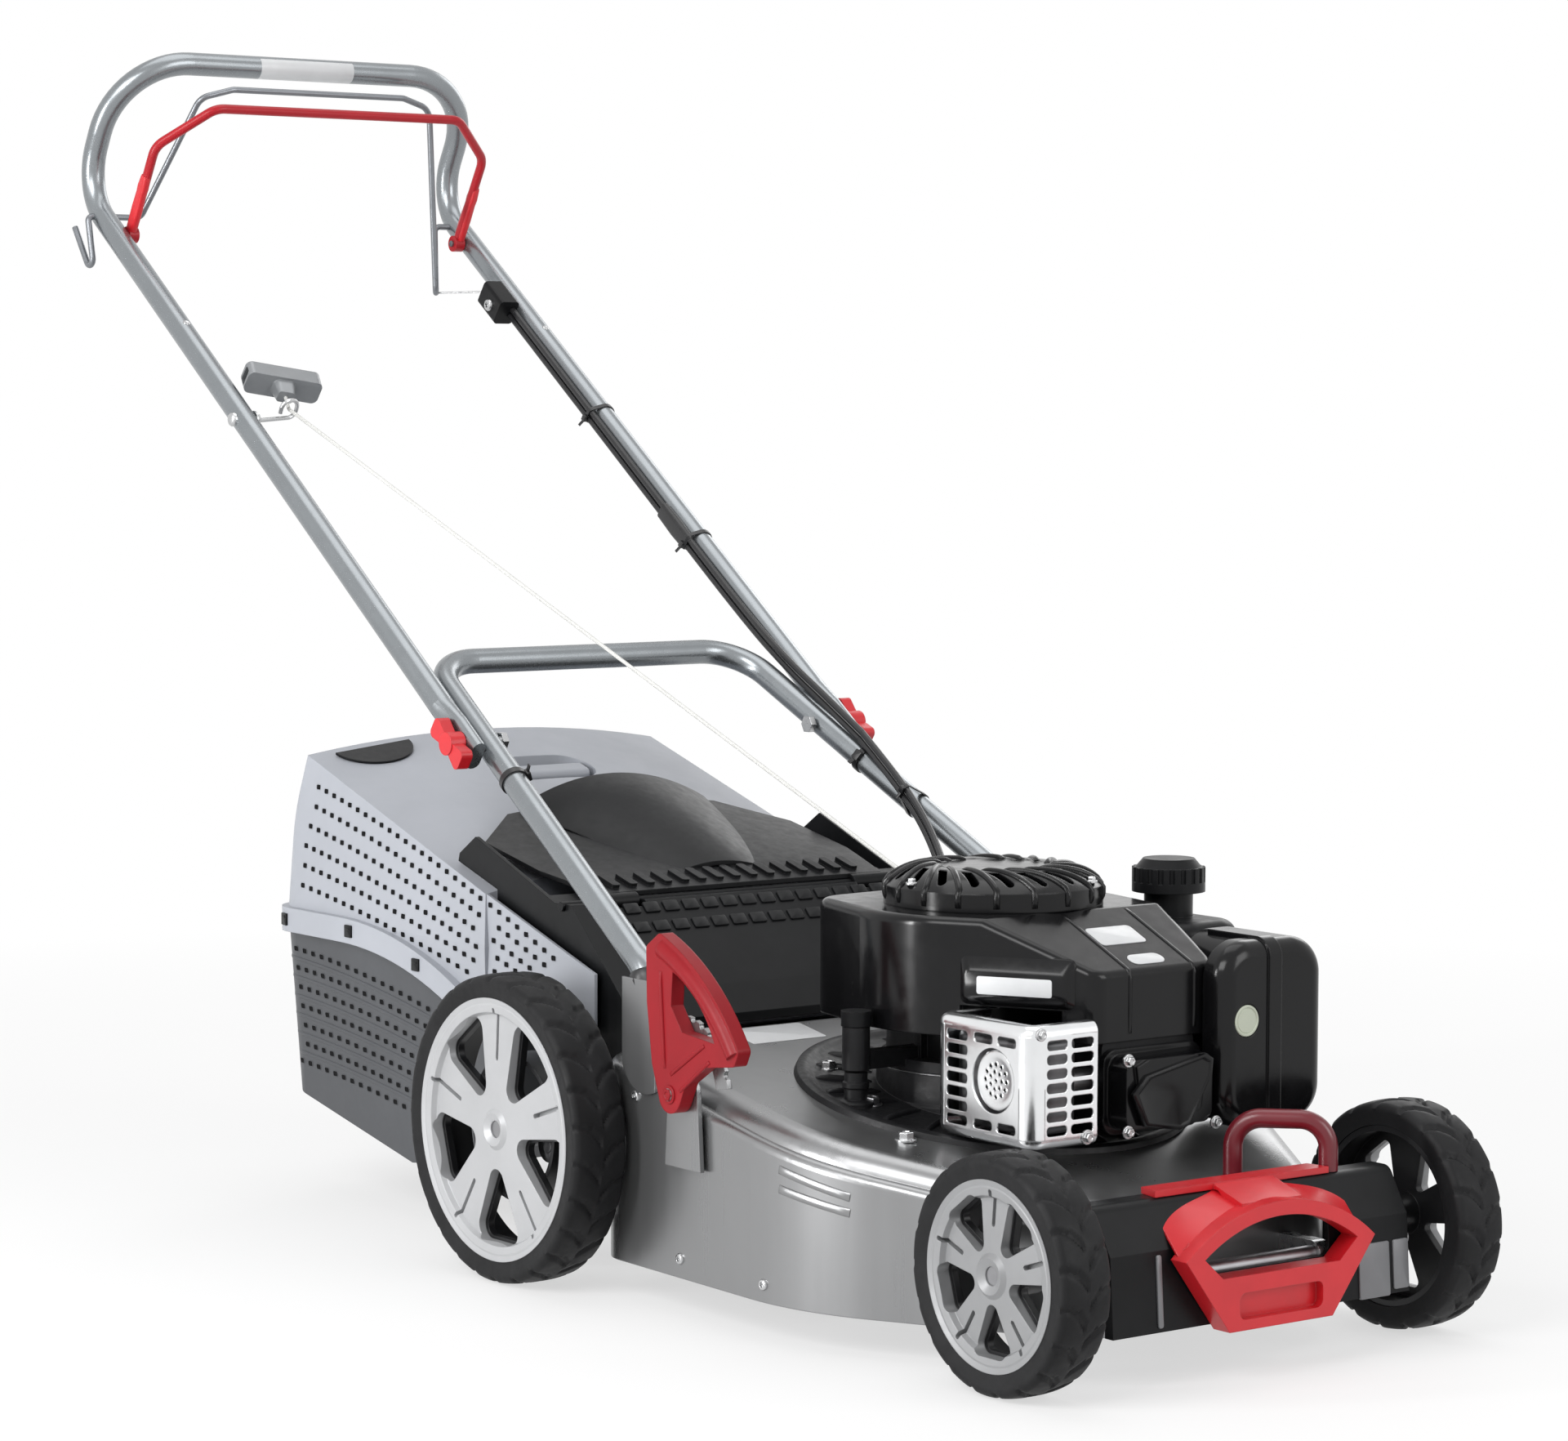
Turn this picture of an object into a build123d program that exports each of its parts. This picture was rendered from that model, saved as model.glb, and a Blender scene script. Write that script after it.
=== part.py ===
"""Petrol walk-behind lawn mower with a folding handle and a rear grass catcher.

Millimetres. +X points to the front of the mower, +Y to its left and +Z up; the
ground is Z = 0. Every piece is a sub-part of its own.
"""
from build123d import *
from math import acos, atan2, cos, radians, sin, sqrt, tan
import os

os.makedirs("parts", exist_ok=True)

# Clearances
fit_gap = 0.05           # radial running fit of a shaft in its hole
run_gap = 0.4            # air between faces of pieces that move past each other
seat_gap = 0.1           # air between a piece and the seat that carries it

# Stance and wheels
rear_axle_x = 90.4
wheelbase = 566.0
rear_wheel_d = 254.0
front_wheel_d = 180.0
rear_tyre_w = 50.0
front_tyre_w = 46.0
rear_face_y = 283.0      # outer face of a rear tyre, from the middle of the mower
front_face_y = 222.0
tyre_wall = 19.0         # height of the tyre above its rim
rim_barrel = 5.0
rim_web = 6.0
rim_web_depth = 15.0     # web of the rim, in from the outer face
trim_depth = 5.0         # face of the spokes, in from the outer face
spoke_count = 5
rim_lip = 7.0            # raised ring round the spokes
hub_r = 17.0
axle_d = 14.0
ring_gear_r = 57.0
ring_gear_wall = 4.0

# Cutting-height cranks
crank_arm = 42.0
crank_rise = 10.0        # wheel axle above its pivot at rest
arm_t = 8.0
drive_shaft_d = 12.0
pinion_r = 14.0

# Deck
crank_setback = 266.0    # crankshaft behind the front axle
crank_x = rear_axle_x + wheelbase - crank_setback
skirt_z = 30.0
deck_wall = 2.5
deck_rear_x = rear_axle_x + 66.0
deck_front_x = rear_axle_x + wheelbase + 5.0
deck_half_w = 228.0
deck_bulge_r = 234.0
deck_nose_half_w = 148.0
deck_rear_corner_r = 40.0
deck_nose_corner_r = 70.0
deck_edge_r = 20.0
deck_step_w = 7.0        # pressed step below the edge of the deck top
deck_step_h = 15.0
deck_step_r = 7.0
deck_top_z = 171.0       # deck top at the crankshaft
deck_fall = 9.6          # degrees that the deck top falls to the front
engine_seat_z = 196.0
engine_seat_r = 92.0
engine_seat_front = 68.0   # the seat ends here, ahead of the crankshaft
chute_half_w = 150.0
chute_low_z = 132.0
chute_high_z = 184.0

# Blade and drive
shaft_d = 25.0
cut_d = 450.0
blade_w = 52.0
blade_t = 4.0
blade_z = 48.0           # underside of the blade
wing_rise = 14.0
belt_z = 92.0
belt_w = 10.0
belt_t = 7.0
pulley_r = 26.0
input_pulley_r = 18.0
pulley_h = 16.0

# Engine
case_l = 136.0
case_w = 140.0
case_h = 66.0
cyl_z = 202.0
cyl_y = 18.0
cyl_half_w = 45.0
cyl_half_h = 36.0
fin_t = 2.5
fin_pitch = 8.0
fin_count = 9
head_l = 32.0
rocker_l = 26.0
rocker_h = 66.0
rocker_drop = 8.0        # rocker cover below the middle of the cylinder
housing_r = 118.0
housing_h = 62.0
housing_wall = 3.0
housing_skirt = 30.0     # housing wall below the top of the crankcase
recoil_r = 88.0
recoil_h = 29.0
recoil_slots = 18
guard_l = 118.0
guard_w = 70.0
guard_h = 95.0
guard_t = 1.5
guard_x = crank_x + 77.0
guard_y = -122.0
guard_z = 160.0
flywheel_r = 84.0
reel_r = 38.0

# Handle
tube_d = 22.0
tube_wall = 1.6
tab_t = 13.0             # flattened end of the upper tube
tab_w = 28.0
fold_spacer = 2.3        # washer between the flattened end and the lower tube
foot_x = rear_axle_x + 139.0
foot_y = 219.0
foot_z = 200.6
leg_bend_x = rear_axle_x + 135.0
leg_bend_z = 264.0
cross_x = rear_axle_x - 276.0
cross_y = 165.0
cross_z = 490.0
fold_x = rear_axle_x - 165.0
fold_bolt_d = 8.0
grip_bend_x = rear_axle_x - 842.0
grip_bend_z = 916.0
grip_bar_x = rear_axle_x - 774.0
grip_bar_z = 1037.0
grip_corner_r = 76.0
grip_bend_r = 52.0
bail_d = 9.0
bail_pivot_x = rear_axle_x - 782.0
bail_boss_d = 16.0
bail_boss_w = 10.0
bail_pin_d = 6.0
wire_d = 6.0
wire_pivot_x = rear_axle_x - 806.0

# Rear hood, flap and catcher
hood_wall = 4.0
hinge_x = rear_axle_x - 38.0
hinge_z = 300.0
hinge_rod_d = 8.0
flap_half_w = 164.0
flap_t = 4.0
flap_rib_pitch = 18.0
flap_rib_count = 15
flap_rib_h = 3.0
bag_half_w = 198.0
hood_half_w = bag_half_w - 12.0
bag_wall = 3.0
bag_rear_x = rear_axle_x - 492.0
bag_front_x = rear_axle_x - 140.0
bag_mouth_x = rear_axle_x - 34.0
bag_mid_z = 256.0        # the catcher is widest here
bag_joint_z = 238.0      # seam of the two shells at the rear
seam_bend_x = rear_axle_x - 370.0
seam_r = 471.0           # the seam falls away to the front on this radius
bag_corner_r = 34.0
bag_flange = 6.0
bag_flange_h = 22.0
bag_low_z = 50.0
bag_low_rear_z = 96.0
crest_x = rear_axle_x - 435.0
crest_z = 412.0          # middle of the top at crest_x
bag_slope = 0.314        # fall of the top to the front
bag_crown = 20.0         # fall of the top from its middle to its sides
carry_x = rear_axle_x - 350.0
carry_l = 58.0
carry_w = 112.0
carry_floor_z = 344.0
bag_draft = 4.0          # degrees that the catcher's walls lean in

# Values that follow from the sizes above
front_axle_x = rear_axle_x + wheelbase
rear_axle_z = rear_wheel_d / 2
front_axle_z = front_wheel_d / 2
arm_run = sqrt(crank_arm ** 2 - crank_rise ** 2)
rear_pivot_x = rear_axle_x + arm_run
rear_pivot_z = rear_axle_z - crank_rise
front_pivot_x = front_axle_x + arm_run
front_pivot_z = front_axle_z - crank_rise
axle_r = axle_d / 2
case_top_z = engine_seat_z + case_h
housing_top_z = case_top_z + housing_h
recoil_top_z = housing_top_z + recoil_h
leg_slope = (cross_z - leg_bend_z) / (cross_x - leg_bend_x)
fold_z = leg_bend_z + leg_slope * (fold_x - leg_bend_x)
fold_leg_y = foot_y + (cross_y - foot_y) * (fold_x - leg_bend_x) / (cross_x - leg_bend_x)
upper_y = fold_leg_y + tube_d / 2 + fold_spacer + tab_t / 2
upper_run = Vector(grip_bend_x - fold_x, 0, grip_bend_z - fold_z)
upper_dir = upper_run.normalized()


def on_upper(x):
    """Height of the upper handle's centre line at a given X."""
    return fold_z + upper_dir.Z / upper_dir.X * (x - fold_x)


bail_pivot_z = on_upper(bail_pivot_x)
wire_pivot_z = on_upper(wire_pivot_x)


def save(piece, name):
    piece.part.label = name
    export_step(piece.part, f"parts/{name}.step")


def side_plane(y):
    """Upright plane at Y = y that looks to the right of the mower, X across and Z up."""
    return Plane(origin=(0, y, 0), x_dir=(1, 0, 0), z_dir=(0, -1, 0))


def across(x, z):
    """Axis along Y through a point of the side view."""
    return Axis((x, 0, z), (0, 1, 0))


# Deck: a pressed steel shell that narrows between the front wheels, with a step round its top
def deck_tier(inset, step, drop, edge_r):
    """One tier of the deck: its plan drawn in by step and its top lowered by drop."""
    fall = radians(deck_fall)
    top = Plane(origin=(crank_x, 0, deck_top_z - drop - inset), z_dir=(sin(fall), 0, cos(fall)))
    draw_in = step + inset
    with BuildPart() as form:
        with BuildSketch(Plane.XY.offset(skirt_z - inset)):
            with Locations((crank_x, 0)):
                Circle(deck_bulge_r - draw_in)
            for side in (-1, 1):
                rear_y = side * (deck_half_w - deck_rear_corner_r)
                nose_y = side * (deck_nose_half_w - deck_nose_corner_r)
                with Locations((deck_rear_x + deck_rear_corner_r, rear_y)):
                    Circle(deck_rear_corner_r - draw_in)
                with Locations((deck_front_x - deck_nose_corner_r, nose_y)):
                    Circle(deck_nose_corner_r - draw_in)
            make_hull()
        extrude(amount=2 * deck_top_z)
        split(bisect_by=top, keep=Keep.BOTTOM)
        fillet(form.faces().sort_by(Axis.Z)[-1].edges(), radius=edge_r - inset)
    return form


def deck_form(inset):
    """Solid of the deck's outside, or of its hollow when inset by the sheet's thickness."""
    with BuildPart() as form:
        add(deck_tier(inset, 0, deck_step_h, deck_step_r).part)
        add(deck_tier(inset, deck_step_w, 0, deck_edge_r).part)
    return form


def seat_form(inset, low_z):
    """Raised seat of the engine: a round boss with a flat front."""
    with BuildPart() as form:
        with BuildSketch(Plane.XY.offset(low_z)):
            with Locations((crank_x, 0)):
                Circle(engine_seat_r - inset)
            with Locations((crank_x + engine_seat_front - inset, 0)):
                Rectangle(engine_seat_r, 3 * engine_seat_r, align=(Align.MIN, Align.CENTER),
                          mode=Mode.SUBTRACT)
        extrude(amount=engine_seat_z - inset - low_z)
    return form


deck_shape = deck_form(0)
deck_core = deck_form(deck_wall)

with BuildPart() as deck_housing:
    add(deck_shape.part)
    add(seat_form(0, skirt_z + 80).part)
    add(deck_core.part, mode=Mode.SUBTRACT)
    add(seat_form(deck_wall, skirt_z + 70).part, mode=Mode.SUBTRACT)
    with Locations((crank_x, 0, engine_seat_z)):
        Cylinder(46, 40, mode=Mode.SUBTRACT)
    with Locations((deck_rear_x, 0, (chute_low_z + chute_high_z) / 2)):
        Box(60, 2 * chute_half_w, chute_high_z - chute_low_z, mode=Mode.SUBTRACT)
    with Locations((deck_rear_x, 0, belt_z)):
        Box(60, 2 * (pulley_r + belt_t + 8), belt_w + 10, mode=Mode.SUBTRACT)
save(deck_housing, "deck_housing")


# Rear hood: the discharge tunnel over the rear axle, with side cheeks beside the flap
neck_low_z = 186.0
neck_top_z = 281.0
cheek_x = bag_front_x + 1.5
cheek_top = (hinge_x - 135.0, hinge_z + 47.0)
cheek_rear = (hinge_x - 160.0, hinge_z + 31.0)
with BuildPart() as rear_hood:
    with BuildSketch(side_plane(0)):
        with BuildLine():
            Polyline((deck_rear_x - seat_gap, chute_low_z), (deck_rear_x - seat_gap, 214),
                     (deck_rear_x - 22, 236), (hinge_x + 12, hinge_z + 2), (hinge_x - 14, hinge_z + 2),
                     cheek_top, cheek_rear, (cheek_rear[0] - 2, cheek_rear[1] - 7), (cheek_x, hinge_z + 5),
                     (cheek_x, 246), (hinge_x - 12, 176), (hinge_x + 20, 176), close=True)
        make_face()
    extrude(amount=hood_half_w, both=True)
    with BuildSketch(side_plane(0)):
        with BuildLine():
            Polyline((deck_rear_x + 20, chute_low_z + hood_wall), (deck_rear_x + 20, 196),
                     (deck_rear_x - 30, 222), (hinge_x + 8, hinge_z - 16), (hinge_x - 26, hinge_z - 10),
                     (hinge_x - 28, hinge_z + 80), (hinge_x - 200, hinge_z + 80),
                     (hinge_x - 200, neck_low_z - seat_gap), (hinge_x + 12, neck_low_z - seat_gap),
                     (hinge_x + 20, 176 + hood_wall), close=True)
        make_face()
    extrude(amount=hood_half_w - hood_wall, both=True, mode=Mode.SUBTRACT)
    with Locations((hinge_x, 0, hinge_z)):
        with Locations(Rotation(90, 0, 0)):
            Cylinder(hinge_rod_d / 2 + fit_gap, 3 * hood_half_w, mode=Mode.SUBTRACT)
    for side in (-1, 1):
        with Locations((hinge_x, side * (flap_half_w - 30), hinge_z)):
            Box(34, 44, 30, mode=Mode.SUBTRACT)
save(rear_hood, "rear_hood")


# Wheels: tyre and spoked rim, turned about the axle and set by their outer face
def wheel_plane(axle_x, axle_z, face_y, side):
    """Half section of a wheel: X outward along the radius, Y in from the outer face."""
    return Plane(origin=(axle_x, side * face_y, axle_z), x_dir=(1, 0, 0), z_dir=(0, 0, -side))


def spoke_plane(axle_x, axle_z, face_y, side, depth, turn):
    """Plane square to the axle, a given depth in from the outer face, with its X turned to a spoke."""
    along = (cos(radians(turn)), 0, sin(radians(turn)))
    return Plane(origin=(axle_x, side * (face_y - depth), axle_z), x_dir=along, z_dir=(0, side, 0))


def make_tyre(axle_x, wheel_d, tyre_w, face_y, side):
    axle_z = wheel_d / 2
    seat_r = wheel_d / 2 - tyre_wall
    with BuildPart() as tyre:
        with BuildSketch(wheel_plane(axle_x, axle_z, face_y, side)):
            with BuildLine():
                Polyline((seat_r + seat_gap, 2), (wheel_d / 2 - 6, 0), (wheel_d / 2 - 2, 3),
                         (wheel_d / 2, 12), (wheel_d / 2, tyre_w - 12), (wheel_d / 2 - 2, tyre_w - 3),
                         (wheel_d / 2 - 6, tyre_w), (seat_r + seat_gap, tyre_w - 2), close=True)
            make_face()
        revolve(axis=across(axle_x, axle_z))
    return tyre


def make_rim(axle_x, wheel_d, tyre_w, face_y, side, gear_r):
    axle_z = wheel_d / 2
    seat_r = wheel_d / 2 - tyre_wall
    inner_r = seat_r - rim_barrel
    spin = across(axle_x, axle_z)
    with BuildPart() as rim:
        with BuildSketch(wheel_plane(axle_x, axle_z, face_y, side)):
            with BuildLine():
                Polyline((inner_r, 3), (seat_r, 1.5), (seat_r, tyre_w - 3), (inner_r, tyre_w - 3), close=True)
            make_face()
            with BuildLine():
                Polyline((axle_r + fit_gap, trim_depth), (hub_r * 0.8, trim_depth - 3), (hub_r, trim_depth),
                         (hub_r, tyre_w - 2), (axle_r + fit_gap, tyre_w - 2), close=True)
            make_face()
            with BuildLine():
                Polyline((hub_r - 1, trim_depth), (inner_r - rim_lip - 2, trim_depth + 3),
                         (inner_r - rim_lip, 3.5),
                         (inner_r - 1, 2.5), (inner_r + 1, 3), (inner_r + 1, rim_web_depth + rim_web),
                         (hub_r - 1, rim_web_depth + rim_web), close=True)
            make_face()
            if gear_r:
                gear_start = rim_web_depth + rim_web - 1
                with BuildLine():
                    Polyline((gear_r, gear_start), (gear_r + ring_gear_wall, gear_start),
                             (gear_r + ring_gear_wall, tyre_w - 4), (gear_r, tyre_w - 4), close=True)
                make_face()
        revolve(axis=spin)
        for step in range(spoke_count):
            turn = 90 + 360 * step / spoke_count
            between = turn + 180 / spoke_count
            for depth, inset in ((rim_web_depth + rim_web + 1, 2.5), (rim_web_depth, 0)):
                with BuildSketch(spoke_plane(axle_x, axle_z, face_y, side, depth, between)):
                    with Locations((0.42 * inner_r, 0)):
                        Circle(0.10 * inner_r - inset)
                    with Locations((0.80 * inner_r, -0.17 * inner_r), (0.80 * inner_r, 0.17 * inner_r)):
                        Circle(0.11 * inner_r - inset)
                    make_hull()
                extrude(amount=depth, mode=Mode.SUBTRACT)
            with BuildSketch(spoke_plane(axle_x, axle_z, face_y, side, trim_depth + 7, turn)):
                with Locations((0.76 * inner_r, 0)):
                    SlotOverall(0.42 * inner_r, 3.6)
            extrude(amount=trim_depth + 7, mode=Mode.SUBTRACT)
    return rim


for end, axle_x, wheel_d, tyre_w, face_y, gear_r in (
    ("rear", rear_axle_x, rear_wheel_d, rear_tyre_w, rear_face_y, ring_gear_r),
    ("front", front_axle_x, front_wheel_d, front_tyre_w, front_face_y, 0),
):
    for hand, side in (("right", -1), ("left", 1)):
        save(make_tyre(axle_x, wheel_d, tyre_w, face_y, side), f"tyre_{end}_{hand}")
        save(make_rim(axle_x, wheel_d, tyre_w, face_y, side, gear_r), f"rim_{end}_{hand}")


# Cutting-height cranks: rear axle on two arms, front axle bent from one rod
rear_inner_y = rear_face_y - rear_tyre_w
front_inner_y = front_face_y - front_tyre_w
arm_y = rear_inner_y - 3 - arm_t
with BuildPart() as rear_axle:
    with BuildSketch(side_plane(0)):
        with Locations((rear_axle_x, rear_axle_z)):
            Circle(axle_r)
    extrude(amount=rear_face_y - trim_depth - 1, both=True)
    for side in (-1, 1):
        with BuildSketch(side_plane(side * (arm_y + arm_t / 2))):
            with Locations((rear_axle_x, rear_axle_z), (rear_pivot_x, rear_pivot_z)):
                Circle(13)
            make_hull()
        extrude(amount=arm_t / 2, both=True)
    with BuildSketch(side_plane(0)):
        with Locations((rear_pivot_x, rear_pivot_z)):
            Circle(drive_shaft_d / 2 + fit_gap)
    extrude(amount=rear_face_y, both=True, mode=Mode.SUBTRACT)
save(rear_axle, "rear_axle")

with BuildPart() as drive_shaft:
    with BuildSketch(side_plane(0)):
        with Locations((rear_pivot_x, rear_pivot_z)):
            Circle(drive_shaft_d / 2)
    extrude(amount=rear_inner_y + 22, both=True)
    for side in (-1, 1):
        with BuildSketch(side_plane(side * (rear_inner_y + 12))):
            with Locations((rear_pivot_x, rear_pivot_z)):
                Circle(pinion_r)
        extrude(amount=9, both=True)
save(drive_shaft, "drive_shaft")

front_arm_y = front_inner_y - 13
front_path = [
    (front_axle_x, -front_face_y + trim_depth + 1, front_axle_z),
    (front_axle_x, -front_arm_y, front_axle_z),
    (front_pivot_x, -front_arm_y, front_pivot_z),
    (front_pivot_x, front_arm_y, front_pivot_z),
    (front_axle_x, front_arm_y, front_axle_z),
    (front_axle_x, front_face_y - trim_depth - 1, front_axle_z),
]
with BuildPart() as front_axle:
    with BuildLine() as front_rod:
        FilletPolyline(*front_path, radius=axle_d * 0.9)
    with BuildSketch(Plane(origin=front_path[0], z_dir=(0, 1, 0))):
        Circle(axle_r)
    sweep()
save(front_axle, "front_axle")


# Bearings of the drive shaft and of the front axle rod, bolted to the deck
bearing_y = arm_y - 12
bearing_r = axle_r + 3.5
front_bearing_y = deck_nose_half_w - deck_nose_corner_r - 10
with BuildPart() as axle_bearings:
    for side in (-1, 1):
        with BuildSketch(side_plane(side * bearing_y)):
            with BuildLine():
                Polyline((deck_rear_x, rear_pivot_z - 30), (deck_rear_x, rear_pivot_z + 12),
                         (rear_pivot_x, rear_pivot_z + 12), (rear_pivot_x, rear_pivot_z - 12), close=True)
            make_face()
            with Locations((rear_pivot_x, rear_pivot_z)):
                Circle(12)
                Circle(drive_shaft_d / 2 + fit_gap, mode=Mode.SUBTRACT)
        extrude(amount=3, both=True)
        with BuildSketch(side_plane(side * front_bearing_y)):
            with BuildLine():
                Polyline((deck_front_x, front_pivot_z - 24), (deck_front_x, front_pivot_z + bearing_r),
                         (front_pivot_x, front_pivot_z + bearing_r),
                         (front_pivot_x, front_pivot_z - bearing_r),
                         close=True)
            make_face()
            with Locations((front_pivot_x, front_pivot_z)):
                Circle(bearing_r)
                Circle(axle_r + fit_gap, mode=Mode.SUBTRACT)
        extrude(amount=6, both=True)
save(axle_bearings, "axle_bearings")


# Gearbox and belt drive behind and under the deck
gear_half_w = 30.0
gear_rear_x = rear_pivot_x - 18
gear_front_x = deck_rear_x
input_x = rear_pivot_x
with BuildPart() as gearbox:
    with BuildSketch(Plane.XY.offset(belt_z + pulley_h / 2 + 2)):
        with Locations(((gear_rear_x + gear_front_x) / 2, 0)):
            Rectangle(gear_front_x - gear_rear_x, 2 * gear_half_w)
    extrude(amount=rear_pivot_z + 10 - belt_z - pulley_h / 2)
    with BuildSketch(side_plane(0)):
        with Locations((rear_pivot_x, rear_pivot_z)):
            Circle(12)
    extrude(amount=gear_half_w + 10, both=True)
    with BuildSketch(side_plane(0)):
        with Locations((rear_pivot_x, rear_pivot_z)):
            Circle(drive_shaft_d / 2 + fit_gap)
    extrude(amount=gear_half_w + 20, both=True, mode=Mode.SUBTRACT)
save(gearbox, "gearbox")


def make_pulley(x, radius, shaft_r, top_z):
    """Grooved pulley on an upright shaft; the shaft end reaches up to top_z."""
    low = belt_z - pulley_h / 2
    with BuildPart() as pulley:
        with BuildSketch(Plane(origin=(x, 0, low), x_dir=(1, 0, 0), z_dir=(0, -1, 0))):
            with BuildLine():
                Polyline((0, 0), (radius, 0), (radius, 1.5), (radius - belt_t, 4.5),
                         (radius - belt_t, pulley_h - 4.5), (radius, pulley_h - 1.5),
                         (radius, pulley_h), (shaft_r, pulley_h), (shaft_r, top_z - low), (0, top_z - low),
                         close=True)
            make_face()
        revolve(axis=Axis((x, 0, 0), (0, 0, 1)))
    return pulley


save(make_pulley(input_x, input_pulley_r, 5, belt_z + pulley_h / 2 + 2 - seat_gap), "input_pulley")

with BuildPart() as drive_belt:
    with BuildSketch(Plane.XY.offset(belt_z - 3)):
        with Locations((crank_x, 0)):
            Circle(pulley_r + 1)
        with Locations((input_x, 0)):
            Circle(input_pulley_r + 1)
        make_hull()
        with BuildSketch(mode=Mode.SUBTRACT):
            with Locations((crank_x, 0)):
                Circle(pulley_r - belt_t + 1)
            with Locations((input_x, 0)):
                Circle(input_pulley_r - belt_t + 1)
            make_hull()
    extrude(amount=6)
save(drive_belt, "drive_belt")


# Crankshaft, flywheel, blade holder and blade
holder_low_z = blade_z + blade_t
with BuildPart() as crankshaft:
    with BuildSketch(Plane(origin=(crank_x, 0, 0), x_dir=(1, 0, 0), z_dir=(0, -1, 0))):
        with BuildLine():
            low = belt_z - pulley_h / 2
            Polyline((0, low - 6), (shaft_d / 2, low - 6), (shaft_d / 2, low), (pulley_r, low),
                     (pulley_r, low + 1.5), (pulley_r - belt_t, low + 4.5),
                     (pulley_r - belt_t, low + pulley_h - 4.5), (pulley_r, low + pulley_h - 1.5),
                     (pulley_r, low + pulley_h), (shaft_d / 2, low + pulley_h),
                     (shaft_d / 2, case_top_z + 16), (8, case_top_z + 16), (8, housing_top_z + 2),
                     (0, housing_top_z + 2), close=True)
        make_face()
    revolve(axis=Axis((crank_x, 0, 0), (0, 0, 1)))
save(crankshaft, "crankshaft")

with BuildPart() as flywheel:
    with BuildSketch(Plane(origin=(crank_x, 0, case_top_z), x_dir=(1, 0, 0), z_dir=(0, -1, 0))):
        with BuildLine():
            Polyline((8 + fit_gap, 16 + seat_gap), (30, 16 + seat_gap), (40, 12), (flywheel_r, 12),
                     (flywheel_r, 24),
                     (40, 28), (24, 36), (8 + fit_gap, 36), close=True)
        make_face()
    revolve(axis=Axis((crank_x, 0, 0), (0, 0, 1)))
    with BuildSketch(Plane(origin=(crank_x, 0, case_top_z + 22))):
        with PolarLocations(flywheel_r - 17, 16):
            with Locations(Rotation(0, 0, 28)):
                Rectangle(30, 2.5)
    extrude(amount=22)
save(flywheel, "flywheel")

with BuildPart() as blade_holder:
    with BuildSketch(Plane(origin=(crank_x, 0, 0), x_dir=(1, 0, 0), z_dir=(0, -1, 0))):
        with BuildLine():
            top = belt_z - pulley_h / 2 - 6 - seat_gap
            Polyline((0, blade_z - 12), (11, blade_z - 12), (11, blade_z - 4), (17, blade_z - 4),
                     (17, blade_z - seat_gap), (7.9, blade_z - seat_gap), (7.9, holder_low_z + seat_gap),
                     (30, holder_low_z + seat_gap), (30, holder_low_z + 6), (18, holder_low_z + 10),
                     (18, top), (0, top), close=True)
        make_face()
    revolve(axis=Axis((crank_x, 0, 0), (0, 0, 1)))
save(blade_holder, "blade_holder")

half_cut = cut_d / 2
with BuildPart() as blade:
    with BuildSketch(Plane(origin=(crank_x, 0, 0), x_dir=(0, 1, 0), z_dir=(1, 0, 0))):
        with BuildLine():
            Polyline((-half_cut + 4, blade_z), (half_cut - 4, blade_z), (half_cut - 4, blade_z + blade_t),
                     (-half_cut + 4, blade_z + blade_t), close=True)
        make_face()
    extrude(amount=blade_w / 2, both=True)
    for turn in (-1, 1):
        with BuildSketch(Plane(origin=(crank_x, turn * (half_cut - 40), 0), x_dir=(1, 0, 0),
                               z_dir=(0, -1, 0))):
            with BuildLine():
                Polyline((turn * blade_w * 0.12, blade_z + 0.5), (turn * blade_w / 2, blade_z + 0.5),
                         (turn * (blade_w / 2 + 3), blade_z + wing_rise + blade_t),
                         (turn * (blade_w / 2 - 2), blade_z + wing_rise + blade_t),
                         (turn * blade_w * 0.3, blade_z + blade_t - 0.5),
                         (turn * blade_w * 0.12, blade_z + blade_t - 0.5), close=True)
            make_face()
        extrude(amount=34, both=True)
    with Locations((crank_x, 0, blade_z)):
        Cylinder(8, 40, mode=Mode.SUBTRACT)
    with BuildSketch(Plane.XY):
        with Locations((crank_x, 0)):
            Circle(half_cut)
    extrude(amount=blade_z + 60, mode=Mode.INTERSECT)
save(blade, "blade")


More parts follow.
